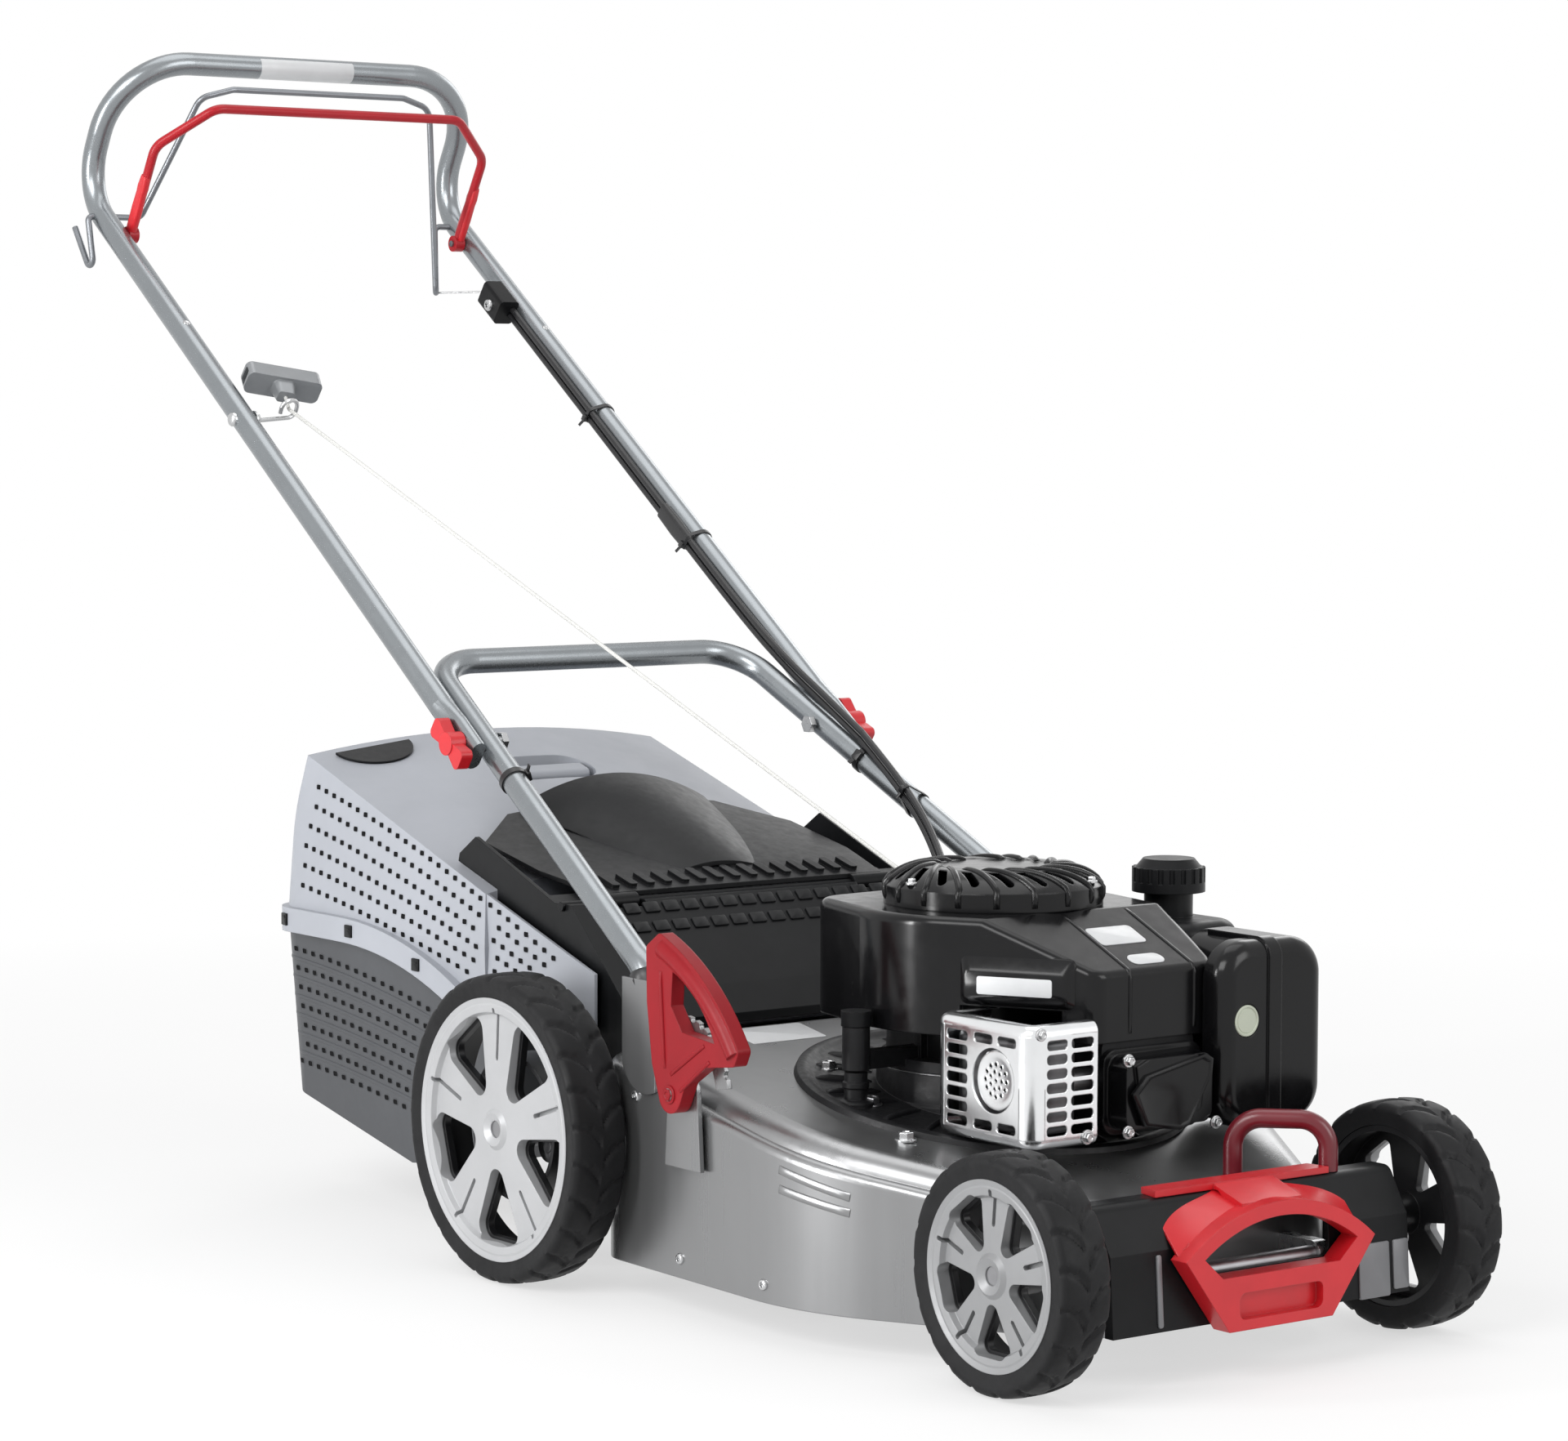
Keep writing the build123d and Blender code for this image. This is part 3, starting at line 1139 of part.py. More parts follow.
def make_wing_nut(side):
    """Bow-tie nut: a round hub with two wings that widen outward."""
    with BuildPart() as nut:
        with BuildSketch(side_plane(side * nut_y)):
            with Locations((fold_x, fold_z)):
                Circle(nut_r)
        extrude(amount=-side * nut_h)
        wing_plane = Plane(origin=(fold_x, side * (nut_y + 3), fold_z), x_dir=upper_dir, z_dir=(0, -1, 0))
        with BuildSketch(wing_plane):
            with BuildLine():
                Polyline((-wing_l / 2, -wing_w / 2), (0, -4), (wing_l / 2, -wing_w / 2),
                         (wing_l / 2, wing_w / 2), (0, 4), (-wing_l / 2, wing_w / 2), close=True)
            wings = make_face()
            fillet(wings.vertices().sort_by(Axis.X)[:2] + wings.vertices().sort_by(Axis.X)[-2:], radius=5)
        extrude(amount=-side * (nut_h - 4))
        with BuildSketch(side_plane(0)):
            with Locations((fold_x, fold_z)):
                Circle(fold_bolt_d / 2 + fit_gap)
        extrude(amount=-side * (nut_y + nut_h - 2.5), mode=Mode.SUBTRACT)
    return nut


save(make_wing_nut(-1), "wing_nut_right")
save(make_wing_nut(1), "wing_nut_left")


def cord_radii(points):
    """Bend radius at each corner of a cord: as large as the shorter of its two runs allows."""
    radii = []
    for before, corner, after in zip(points, points[1:], points[2:]):
        run_in = Vector(*corner) - Vector(*before)
        run_out = Vector(*after) - Vector(*corner)
        turn = radians(run_in.get_angle(run_out))
        radii.append(0.45 * min(run_in.length, run_out.length) / tan(turn / 2))
    return radii


def make_cord(points, diameter):
    """Round cord along straight runs and tangent arcs."""
    start = Plane(origin=points[0], z_dir=Vector(*points[1]) - Vector(*points[0]))
    with BuildPart() as cord:
        with BuildLine():
            if len(points) == 2:
                Line(*points)
            else:
                FilletPolyline(*points, radius=cord_radii(points))
        with BuildSketch(start):
            Circle(diameter / 2)
        sweep()
    return cord


def at(x, y, z):
    """Point given from the rear axle's X."""
    return (rear_axle_x + x, y, z)


# Red drive bail: a bent rod in two bosses that turn on pins inside the upper tubes
bail_y = upper_y - tube_d / 2 - run_gap - bail_boss_w / 2
bail_knee = (49.0, 82.0)
bail_bar = (80.0, 118.0)
bail_bar_half_w = 135.0
bail_path = [
    (bail_pivot_x, -bail_y, bail_pivot_z), (bail_pivot_x + bail_knee[0], -bail_y,
                                            bail_pivot_z + bail_knee[1]),
    (bail_pivot_x + bail_bar[0], -bail_bar_half_w, bail_pivot_z + bail_bar[1]),
    (bail_pivot_x + bail_bar[0], bail_bar_half_w, bail_pivot_z + bail_bar[1]),
    (bail_pivot_x + bail_knee[0], bail_y, bail_pivot_z + bail_knee[1]), (bail_pivot_x, bail_y, bail_pivot_z),
]
with BuildPart() as drive_bail:
    with BuildLine():
        FilletPolyline(*bail_path, radius=22)
    with BuildSketch(Plane(origin=bail_path[0], z_dir=Vector(*bail_path[1]) - Vector(*bail_path[0]))):
        Circle(bail_d / 2)
    sweep()
    for side in (-1, 1):
        with BuildSketch(side_plane(side * bail_y)):
            with Locations((bail_pivot_x, bail_pivot_z)):
                Circle(bail_boss_d / 2)
        extrude(amount=bail_boss_w / 2, both=True)
    with BuildSketch(side_plane(0)):
        with Locations((bail_pivot_x, bail_pivot_z)):
            Circle(bail_pin_d / 2 + fit_gap)
    extrude(amount=2 * upper_y, both=True, mode=Mode.SUBTRACT)
save(drive_bail, "drive_bail")

# Grey stop bail: one wire with a hook outside the right tube and a long V on the left
wire_out_y = upper_y + tube_d / 2 + 5.5
wire_path = [
    (wire_pivot_x - 26, -wire_out_y, wire_pivot_z - 10), (wire_pivot_x + 15, -wire_out_y, wire_pivot_z - 68),
    (wire_pivot_x, -wire_out_y, wire_pivot_z), (wire_pivot_x, -160, wire_pivot_z),
    (wire_pivot_x + 61, -128, wire_pivot_z + 113), (wire_pivot_x + 66, -95, wire_pivot_z + 122),
    (wire_pivot_x + 66, 95, wire_pivot_z + 122), (wire_pivot_x + 61, 128, wire_pivot_z + 113),
    (wire_pivot_x + 38, 150, wire_pivot_z - 84), (wire_pivot_x, 172, wire_pivot_z),
    (wire_pivot_x, upper_y, wire_pivot_z),
]
with BuildPart() as stop_bail:
    with BuildLine():
        FilletPolyline(*wire_path, radius=[6, 5, 8, 16, 16, 16, 16, 8, 8])
    with BuildSketch(Plane(origin=wire_path[0], z_dir=Vector(*wire_path[1]) - Vector(*wire_path[0]))):
        Circle(wire_d / 2)
    sweep()
save(stop_bail, "stop_bail")

# Cable bracket on the left tube, and the two sheathed cables that run down from it
cable_d = 6.0
cable_pitch = 7.2
bracket_from = 640.0     # along the upper tube from the fold
bracket_to = 676.0
clip_at = 264.0
upper_up = Vector(-upper_dir.Z, 0, upper_dir.X) * -1
cable_y = upper_y - tube_d / 2 - cable_d / 2 - 0.6


def beside_upper(along, rise):
    """Point beside the left upper tube: along it from the fold, and up square to it."""
    return Vector(fold_x, cable_y, fold_z) + upper_dir * along + upper_up * rise


bracket_plane = Plane(origin=beside_upper(bracket_from, 0), x_dir=(0, 1, 0), z_dir=upper_dir)
with BuildPart() as cable_bracket:
    with BuildSketch(bracket_plane):
        with Locations((-6, 0)):
            RectangleRounded(22, 26, 4)
        with Locations((upper_y - cable_y, 0)):
            Circle(tube_d / 2 + seat_gap, mode=Mode.SUBTRACT)
    extrude(amount=bracket_to - bracket_from)
    with BuildSketch(bracket_plane.offset(bracket_to - bracket_from)):
        with Locations((0, -cable_pitch / 2), (0, cable_pitch / 2)):
            Circle(1.5)
    extrude(amount=bracket_from - bracket_to, mode=Mode.SUBTRACT)
save(cable_bracket, "cable_bracket")

fold_route = [
    tuple(beside_upper(clip_at, -cable_pitch / 2)), tuple(beside_upper(150, -cable_pitch / 2)),
    at(-215, 181, 472.5), at(-165, 180.5, 447.5), at(-115, 183.5, 418),
]
cable_step = upper_up * cable_pitch
tie_run = (Vector(*fold_route[-1]) - Vector(*fold_route[-2])).normalized() * 0.6
lower_route = [
    tuple(Vector(*fold_route[-1]) + tie_run), at(-58, 177, 386), at(0, 165, 352), at(58, 140, 318),
    at(114, 106, 284), at(165, 70, 253), (crank_x - case_l / 2 - cable_d / 2 - cable_step.X, 36, 234),
]


def beside(points):
    """The same route for the second cable, one pitch above the first."""
    return [tuple(Vector(*point) + cable_step) for point in points]


def cable_pair(points, name):
    with BuildPart() as pair:
        add(make_cord(points, cable_d).part)
        add(make_cord(beside(points), cable_d).part)
    save(pair, name)
    print(name, "bend radii", [round(radius) for radius in cord_radii(points)])


cable_pair([tuple(beside_upper(bracket_from - seat_gap, -cable_pitch / 2)), fold_route[0]], "cables_upper")
cable_pair(fold_route, "cables_fold")
cable_pair(lower_route, "cables_lower")

wire_hook = Vector(*wire_path[8])
wire_end = beside_upper(bracket_to + 0.9, 0)
with BuildPart() as stop_wire:
    wire_run = (wire_end - wire_hook).normalized()
    add(make_cord([tuple(wire_hook + wire_run * 4.5), tuple(wire_end)], 2).part)
save(stop_wire, "stop_wire")

# Pull starter: wire eye on the right tube, T-grip in front of it, rope down to the recoil cover
rope_d = 4.0
eye = Vector(*at(-541, -152, 709))
eye_r = 9.0
pull_dir = Vector(-0.75, 0.25, 0.61).normalized()
rope_entry = Vector(crank_x - recoil_r + 0.3, -16, housing_top_z + 12)
rope_dir = (rope_entry - eye).normalized()
eye_plane = Plane(origin=eye, x_dir=(0, 1, 0), z_dir=rope_dir)
grip_stand = 40.0
grip_l = 72.0
grip_w = 24.0
grip_h = 17.0
grip_stem = 14.0
eye_wire_d = 4.0
eye_reach = upper_y - tube_d / 2 - 0.8 + eye.Y
with BuildPart() as rope_guide:
    with BuildLine(eye_plane):
        FilletPolyline((-eye_reach, -eye_r), (eye_r, -eye_r), (eye_r, eye_r), (-eye_r, eye_r), (-eye_r, -3.5),
                       radius=8)
    with BuildSketch(Plane(origin=eye_plane.from_local_coords((-eye_reach, -eye_r, 0)),
                           z_dir=eye_plane.x_dir)):
        Circle(eye_wire_d / 2)
    sweep()
save(rope_guide, "rope_guide")

grip_plane = Plane(origin=eye + pull_dir * grip_stand, x_dir=(0, 1, 0), z_dir=pull_dir)
with BuildPart() as starter_grip:
    with BuildSketch(grip_plane.offset(-grip_h / 2)):
        RectangleRounded(grip_l, grip_w, 6)
    extrude(amount=grip_h)
    with BuildSketch(grip_plane.offset(-grip_h / 2)):
        RectangleRounded(22, 18, 6)
    extrude(amount=-grip_stem, taper=12)
    for side in (-1, 1):
        end_plane = Plane(origin=grip_plane.from_local_coords((side * grip_l / 2, 0, 0)),
                          x_dir=grip_plane.y_dir,
                          z_dir=grip_plane.x_dir * side)
        with BuildSketch(end_plane):
            RectangleRounded(grip_w - 7, grip_h - 7, 3)
        extrude(amount=-18, mode=Mode.SUBTRACT)
save(starter_grip, "starter_grip")

rope_tail_end = eye + pull_dir * (grip_stand - grip_h / 2 - grip_stem - seat_gap)
with BuildPart() as rope_tail:
    add(make_cord([tuple(eye + pull_dir * 1.2), tuple(rope_tail_end)], rope_d).part)
save(rope_tail, "rope_tail")

with BuildPart() as starter_rope:
    add(make_cord([tuple(eye), tuple(rope_entry)], rope_d).part)
save(starter_rope, "starter_rope")


# Grass catcher: an upper and a lower shell that meet at a curved seam, with a neck that enters the hood
bag_l = bag_front_x - bag_rear_x
bag_mid_x = (bag_front_x + bag_rear_x) / 2
neck_half_w = hood_half_w - hood_wall - run_gap
wing_front_x = rear_axle_x + 20.0
wing_low_z = 200.0
wing_y = bag_half_w - 4.0
slope_dir = Vector(1, 0, -bag_slope).normalized()
crown_plane = Plane(origin=(crest_x, 0, crest_z), x_dir=(0, 1, 0), z_dir=slope_dir)


def bag_top(x, y):
    """Height of the catcher's top."""
    return crest_z - bag_slope * (x - crest_x) - bag_crown * (y / bag_half_w) ** 2


def bag_form(inset):
    """Outside of the whole catcher, or its hollow when inset by the wall."""
    with BuildPart() as form:
        for rise in (1, -1):
            with BuildSketch(Plane.XY.offset(bag_mid_z)):
                with Locations((bag_mid_x, 0)):
                    plan = Rectangle(bag_l - 2 * inset, 2 * (bag_half_w - inset))
                fillet(plan.vertices().sort_by(Axis.X)[:2], radius=bag_corner_r - inset)
            extrude(amount=rise * 240, taper=bag_draft)
        with BuildSketch(side_plane(0)):
            with BuildLine():
                Polyline((bag_rear_x - 1, bag_low_rear_z + inset), (bag_rear_x - 1, bag_mid_z),
                         (bag_rear_x + inset, bag_mid_z + 6), (bag_rear_x + 44 + inset, crest_z - 12),
                         (bag_rear_x + 62 + inset, crest_z + 40), (bag_front_x + 1, crest_z + 40),
                         (bag_front_x + 1, bag_low_z + 44 + inset),
                         (bag_front_x - 40, bag_low_z + 12 + inset),
                         (bag_rear_x + 212, bag_low_z + inset), close=True)
            make_face()
        extrude(amount=bag_half_w + 1, both=True, mode=Mode.INTERSECT)
        with BuildSketch(crown_plane):
            with BuildLine():
                edge = (bag_half_w + 10, -bag_crown * cos(bag_slope) - 2 - inset)
                crown = ThreePointArc((-edge[0], edge[1]), (0, -inset), edge)
                Polyline(crown @ 1, (edge[0], -500), (-edge[0], -500), crown @ 0)
            make_face()
        extrude(amount=bag_l + 200, both=True, mode=Mode.INTERSECT)
    return form


def seam_slab(from_z, to_z):
    """Slab across the catcher between the surface of the seam, set at a height, and a level."""
    reach = bag_front_x + 2 - seam_bend_x
    with BuildPart() as slab:
        with BuildSketch(side_plane(0)):
            with BuildLine():
                level = Line((bag_rear_x - 20, from_z), (seam_bend_x, from_z))
                front = (bag_front_x + 2, from_z - seam_r + sqrt(seam_r ** 2 - reach ** 2))
                bend = TangentArc(level @ 1, front, tangent=level % 1)
                Polyline(bend @ 1, (bag_front_x + 2, to_z), (bag_rear_x - 20, to_z), level @ 0)
            make_face()
        extrude(amount=bag_half_w + 20, both=True)
    return slab


def neck_form(inset):
    """Neck of the catcher; with an inset, the passage through it."""
    with BuildPart() as form:
        with BuildSketch(side_plane(0)):
            with BuildLine():
                Polyline((bag_front_x - 20, neck_low_z + inset), (bag_mouth_x + inset, neck_low_z + inset),
                         (bag_mouth_x + inset, neck_top_z - inset), (hinge_x - 28, neck_top_z - inset),
                         (bag_front_x - 4, neck_top_z + 14 - inset),
                         (bag_front_x - 20, neck_top_z + 14 - inset),
                         close=True)
            make_face()
        extrude(amount=neck_half_w - inset, both=True)
    return form


bag_shape = bag_form(0)
bag_core = bag_form(bag_wall)
seam_top_z = bag_joint_z + bag_flange_h

with BuildPart() as seam_band:
    with BuildSketch(Plane.XY.offset(bag_joint_z - 90)):
        with Locations((bag_mid_x, 0)):
            RectangleRounded(bag_l + 2 * bag_flange, 2 * (bag_half_w + bag_flange), bag_corner_r + bag_flange)
        with Locations((bag_front_x - 1, 0)):
            Rectangle(40, 3 * bag_half_w, align=(Align.MIN, Align.CENTER), mode=Mode.SUBTRACT)
    extrude(amount=150)
    add(seam_slab(bag_joint_z + seat_gap / 2, 600).part, mode=Mode.INTERSECT)
    add(seam_slab(seam_top_z, 600).part, mode=Mode.SUBTRACT)

with BuildPart() as carry_well:
    with BuildSketch(Plane.XY.offset(carry_floor_z)):
        with Locations((carry_x, 0)):
            SlotOverall(carry_w, carry_l, rotation=90)
    extrude(amount=100)
    with BuildSketch(Plane.XY.offset(carry_floor_z + bag_wall)):
        with Locations((carry_x, 0)):
            SlotOverall(carry_w - 2 * bag_wall, carry_l - 2 * bag_wall, rotation=90)
    extrude(amount=100, mode=Mode.SUBTRACT)
    add(bag_shape.part, mode=Mode.INTERSECT)

with BuildPart() as catcher_upper:
    add(bag_shape.part)
    add(seam_slab(bag_joint_z + seat_gap / 2, 600).part, mode=Mode.INTERSECT)
    add(seam_band.part)
    add(neck_form(0).part)
    add(bag_core.part, mode=Mode.SUBTRACT)
    add(neck_form(bag_wall).part, mode=Mode.SUBTRACT)
    for side in (-1, 1):
        with BuildSketch(side_plane(side * wing_y)):
            with BuildLine():
                Polyline((bag_front_x - 8, wing_low_z), (bag_front_x - 8, bag_top(bag_front_x - 8, wing_y)),
                         (wing_front_x, bag_top(wing_front_x, wing_y)), (wing_front_x, wing_low_z),
                         close=True)
            make_face()
        extrude(amount=side * bag_wall)
    with BuildSketch(Plane.XY.offset(carry_floor_z + bag_wall)):
        with Locations((carry_x, 0)):
            SlotOverall(carry_w - 2 * bag_wall, carry_l - 2 * bag_wall, rotation=90)
    extrude(amount=100, mode=Mode.SUBTRACT)
    add(carry_well.part)
    with BuildSketch(side_plane(0)):
        with Locations((carry_x - 6, bag_top(carry_x - 6, 0) - 9)):
            SlotOverall(24, 12, rotation=-17)
    extrude(amount=carry_w / 2 - 8, both=True)
save(catcher_upper, "catcher_upper")

with BuildPart() as catcher_lower:
    add(bag_shape.part)
    add(seam_slab(bag_joint_z - seat_gap / 2, 0).part, mode=Mode.INTERSECT)
    add(bag_core.part, mode=Mode.SUBTRACT)
save(catcher_lower, "catcher_lower")

# Level flap on the catcher's crest: a half round plate that lies on the sloping top
level_x = crest_x + 2.0
level_y = -130.0
level_l = 76.0
level_w = 36.0
level_tilt = 2 * bag_crown * level_y / bag_half_w ** 2
level_plane = Plane(origin=(level_x, level_y, bag_top(level_x, level_y)), x_dir=slope_dir,
                    z_dir=(bag_slope, level_tilt, 1))
with BuildPart() as level_flap:
    with BuildSketch(level_plane.offset(run_gap)):
        with BuildLine():
            straight = Line((0, -level_l / 2), (0, level_l / 2))
            ThreePointArc(straight @ 1, (level_w, 0), straight @ 0)
        make_face()
    extrude(amount=2)
save(level_flap, "level_flap")


# Hinge rod and rear flap: an arched plate between the hood's cheeks, with a broad hump for the hand
flap_l = 200.0
flap_rise = 55.4
flap_low_z = hinge_z + 4.6
flap_arch = 15.0
flap_rear = hinge_x - flap_l
hump_sections = [(0.18, 44.0, 5.0), (0.55, 74.0, 18.0), (1.0, 100.0, 24.0)]


def flap_section(share):
    """Upright plane across the flap, a share of its length back from the hinge."""
    origin = (hinge_x - share * flap_l, 0, flap_low_z + share * flap_rise)
    return Plane(origin=origin, x_dir=(0, 1, 0), z_dir=(-1, 0, 0))


def hump_form(inset):
    """Hump of the flap, or its hollow when inset by the wall."""
    with BuildPart() as form:
        for share, half_w, rise in hump_sections:
            base = -flap_t / 2 + 2.5 * inset
            with BuildSketch(flap_section(share)):
                with BuildLine():
                    crown = ThreePointArc((inset - half_w, base), (0, -flap_t - rise + inset),
                                          (half_w - inset, base))
                    Line(crown @ 1, crown @ 0)
                make_face()
        loft()
    return form


with BuildPart() as flap_hinge_rod:
    with BuildSketch(side_plane(0)):
        with Locations((hinge_x, hinge_z)):
            Circle(hinge_rod_d / 2)
    extrude(amount=hood_half_w + 3, both=True)
save(flap_hinge_rod, "flap_hinge_rod")

with BuildPart() as rear_flap:
    for share, drop in ((0, 0.5), (1, flap_arch)):
        with BuildSketch(flap_section(share)):
            with BuildLine():
                low = ThreePointArc((-flap_half_w, drop), (0, 0), (flap_half_w, drop))
                high = ThreePointArc((-flap_half_w, drop - flap_t), (0, -flap_t),
                                     (flap_half_w, drop - flap_t))
                Line(low @ 0, high @ 0)
                Line(low @ 1, high @ 1)
            make_face()
    loft()
    add(hump_form(0).part)
    add(hump_form(flap_t).part, mode=Mode.SUBTRACT)
    with BuildSketch(Plane.XY.offset(hinge_z)):
        with BuildLine():
            Polyline((hinge_x + 1, -flap_half_w + 16), (hinge_x - 70, -flap_half_w),
                     (hinge_x - 154, -flap_half_w),
                     (flap_rear - 1, -110), (flap_rear - 1, 110),
                     (hinge_x - 154, flap_half_w), (hinge_x - 70, flap_half_w),
                     (hinge_x + 1, flap_half_w - 16),
                     close=True)
        make_face()
    extrude(amount=140, mode=Mode.INTERSECT)
    rib_plane = Plane(origin=(hinge_x, 0, flap_low_z + flap_t), x_dir=(-flap_l, 0, flap_rise),
                      z_dir=(flap_rise, 0, flap_l))
    with BuildSketch(rib_plane.offset(-1.5)):
        with Locations((22, 0)):
            with GridLocations(0, flap_rib_pitch, 1, flap_rib_count):
                RectangleRounded(26, flap_rib_pitch * 0.45, 3)
    extrude(amount=flap_rib_h + 1)
    for side in (-1, 1):
        with BuildSketch(side_plane(side * (flap_half_w - 30))):
            with Locations((hinge_x, hinge_z)):
                Circle(hinge_rod_d / 2 + 4)
            with BuildLine():
                Polyline((hinge_x - 8, hinge_z), (hinge_x, hinge_z), (hinge_x, hinge_z + 6),
                         (hinge_x - 14, hinge_z + 10), close=True)
            make_face()
            with Locations((hinge_x, hinge_z)):
                Circle(hinge_rod_d / 2 + fit_gap, mode=Mode.SUBTRACT)
        extrude(amount=20, both=True)
save(rear_flap, "rear_flap")


# Cutting-height lever on a toothed quadrant at the right of the deck
lever_x = rear_axle_x + 208.0
lever_z = 180.0
lever_t = 12.0
lever_grip_d = 19.0
quad_t = 4.0
quad_y = max(deck_bulge_r, deck_half_w) + run_gap
quad_r = 62.0
quad_band = 16.0
lever_y = quad_y + quad_t + run_gap
lever_pin_d = 10.0
side_run = Vector(crank_x - deck_rear_x - deck_rear_corner_r, deck_rear_corner_r - deck_half_w)
side_turn = atan2(side_run.Y, side_run.X) + acos((deck_rear_corner_r - deck_bulge_r) / side_run.length)
side_lean = -cos(side_turn) / sin(side_turn)
side_base = deck_bulge_r / sin(side_turn) + side_lean * -crank_x


def deck_side_y(x):
    """Half width of the deck's straight side at a given X."""
    return side_base + side_lean * x


with BuildPart() as height_quadrant:
    with BuildSketch(side_plane(-quad_y)):
        with Locations((lever_x, lever_z)):
            Circle(20)
        with BuildLine():
            Polyline((lever_x - 16, lever_z), (lever_x - 10, lever_z + quad_r - 4),
                     (lever_x + 12, lever_z + quad_r - 4),
                     (lever_x + 16, lever_z), close=True)
        make_face()
        with BuildLine():
            Polyline((lever_x - 20, lever_z), (lever_x + 20, lever_z), (lever_x + 24, 120),
                     (lever_x - 24, 120),
                     close=True)
        make_face()
        with BuildLine():
            inner_arc = CenterArc((lever_x, lever_z), quad_r - quad_band, 10, 110)
            outer_arc = CenterArc((lever_x, lever_z), quad_r, 10, 110)
            Line(inner_arc @ 0, outer_arc @ 0)
            Line(inner_arc @ 1, outer_arc @ 1)
        make_face()
        with Locations((lever_x, lever_z)):
            with PolarLocations(quad_r, 9, start_angle=20, angular_range=90, endpoint=True):
                Circle(3, mode=Mode.SUBTRACT)
    extrude(amount=quad_t)
    with BuildSketch(side_plane(-quad_y)):
        with Locations((lever_x, lever_z)):
            Circle(lever_pin_d / 2)
    extrude(amount=quad_t + run_gap + lever_t + 2)
    with BuildSketch(side_plane(-quad_y)):
        with Locations((lever_x, 132)):
            Circle(8)
    extrude(amount=deck_side_y(lever_x + 8) + seat_gap - quad_y)
save(height_quadrant, "height_quadrant")

lever_plane = Plane(origin=(lever_x, -lever_y, lever_z), x_dir=(1, 0, 0), z_dir=(0, -1, 0))
with BuildPart() as height_lever:
    with BuildSketch(lever_plane):
        with BuildLine():
            outer = ThreePointArc((-14, 126), (36, 101), (92, 44))
            Polyline(outer @ 1, (86, 32), (48, 27), (22, 11), (13, -8), (-13, -8), (-24, 22), (-31, 70),
                     (-32, 114),
                     outer @ 0)
        web = make_face()
        fillet(web.vertices(), radius=5)
        Circle(15)
        with BuildLine():
            inner = ThreePointArc((4, 97), (36, 78), (60, 47))
            Polyline(inner @ 1, (17, 51), (2, 70), inner @ 0)
        make_face(mode=Mode.SUBTRACT)
        Circle(lever_pin_d / 2 + fit_gap, mode=Mode.SUBTRACT)
    extrude(amount=lever_t)
    with BuildLine(lever_plane.offset(lever_t / 2)):
        ThreePointArc((-14, 114), (31, 91), (83, 40))
    with BuildSketch(Plane(origin=lever_plane.offset(lever_t / 2).from_local_coords((-14, 114, 0)),
                           x_dir=(0, 1, 0), z_dir=(0.9, 0, -0.43))):
        Circle(lever_grip_d / 2)
    sweep()
save(height_lever, "height_lever")
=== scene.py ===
import bpy
import bmesh
import math
from mathutils import Matrix, Vector
from mathutils.bvhtree import BVHTree
from mathutils.geometry import tessellate_polygon


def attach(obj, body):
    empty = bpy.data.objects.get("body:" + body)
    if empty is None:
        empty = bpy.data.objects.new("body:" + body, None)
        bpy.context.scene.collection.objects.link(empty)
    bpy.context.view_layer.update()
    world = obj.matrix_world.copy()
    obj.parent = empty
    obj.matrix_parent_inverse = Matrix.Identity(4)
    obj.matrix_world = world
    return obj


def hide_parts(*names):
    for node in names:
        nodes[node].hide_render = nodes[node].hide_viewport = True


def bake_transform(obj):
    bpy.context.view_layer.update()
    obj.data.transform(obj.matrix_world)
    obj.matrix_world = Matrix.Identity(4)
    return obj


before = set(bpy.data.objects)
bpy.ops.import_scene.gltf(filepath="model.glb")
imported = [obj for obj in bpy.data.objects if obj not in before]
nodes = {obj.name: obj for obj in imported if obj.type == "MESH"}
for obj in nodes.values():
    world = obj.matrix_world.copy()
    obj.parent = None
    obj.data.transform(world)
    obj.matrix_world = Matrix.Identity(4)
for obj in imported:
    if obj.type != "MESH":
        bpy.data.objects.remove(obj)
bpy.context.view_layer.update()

# Places taken from the part's own sizes, in millimetres
MM = 0.001
OUTSIDE = 400.0          # clear of the part on either side: rays start there
TUBE_R = 11.0
REAR_X, FRONT_X = 90.4, 656.4
CRANK_X = 390.4
FOLD = Vector((-74.6, 0.0, 428.96))
UPPER_DIR = Vector((-751.6 + 74.6, 0.0, 916.0 - 428.96)).normalized()
UPPER_UP = Vector((UPPER_DIR.z, 0.0, -UPPER_DIR.x))
UPPER_Y = 199.5
EYE = Vector((-450.6, -152.0, 709.0))
PULL = Vector((-0.75, 0.25, 0.61)).normalized()
ROPE_ENTRY = Vector((302.7, -16.0, 336.0))


# Materials
def nodes_of(name):
    m = bpy.data.materials.new(name)
    m.use_nodes = True
    tree = m.node_tree
    return m, tree, tree.nodes["Principled BSDF"]


def link(tree, a, b):
    tree.links.new(a, b)


def add_node(tree, kind, **values):
    """New shader node; an underscore in a keyword stands for the space in a socket's name."""
    node = tree.nodes.new("ShaderNode" + kind)
    for socket, value in values.items():
        node.inputs[socket.replace("_", " ")].default_value = value
    return node


def noise(tree, scale, detail=3.0, rough=0.5, stretch=None):
    source = add_node(tree, "TexCoord").outputs["Object"]
    if stretch:
        mapping = add_node(tree, "Mapping", Scale=stretch)
        link(tree, source, mapping.inputs["Vector"])
        source = mapping.outputs["Vector"]
    tex = add_node(tree, "TexNoise", Scale=scale, Detail=detail, Roughness=rough)
    link(tree, source, tex.inputs["Vector"])
    return tex.outputs["Fac"]


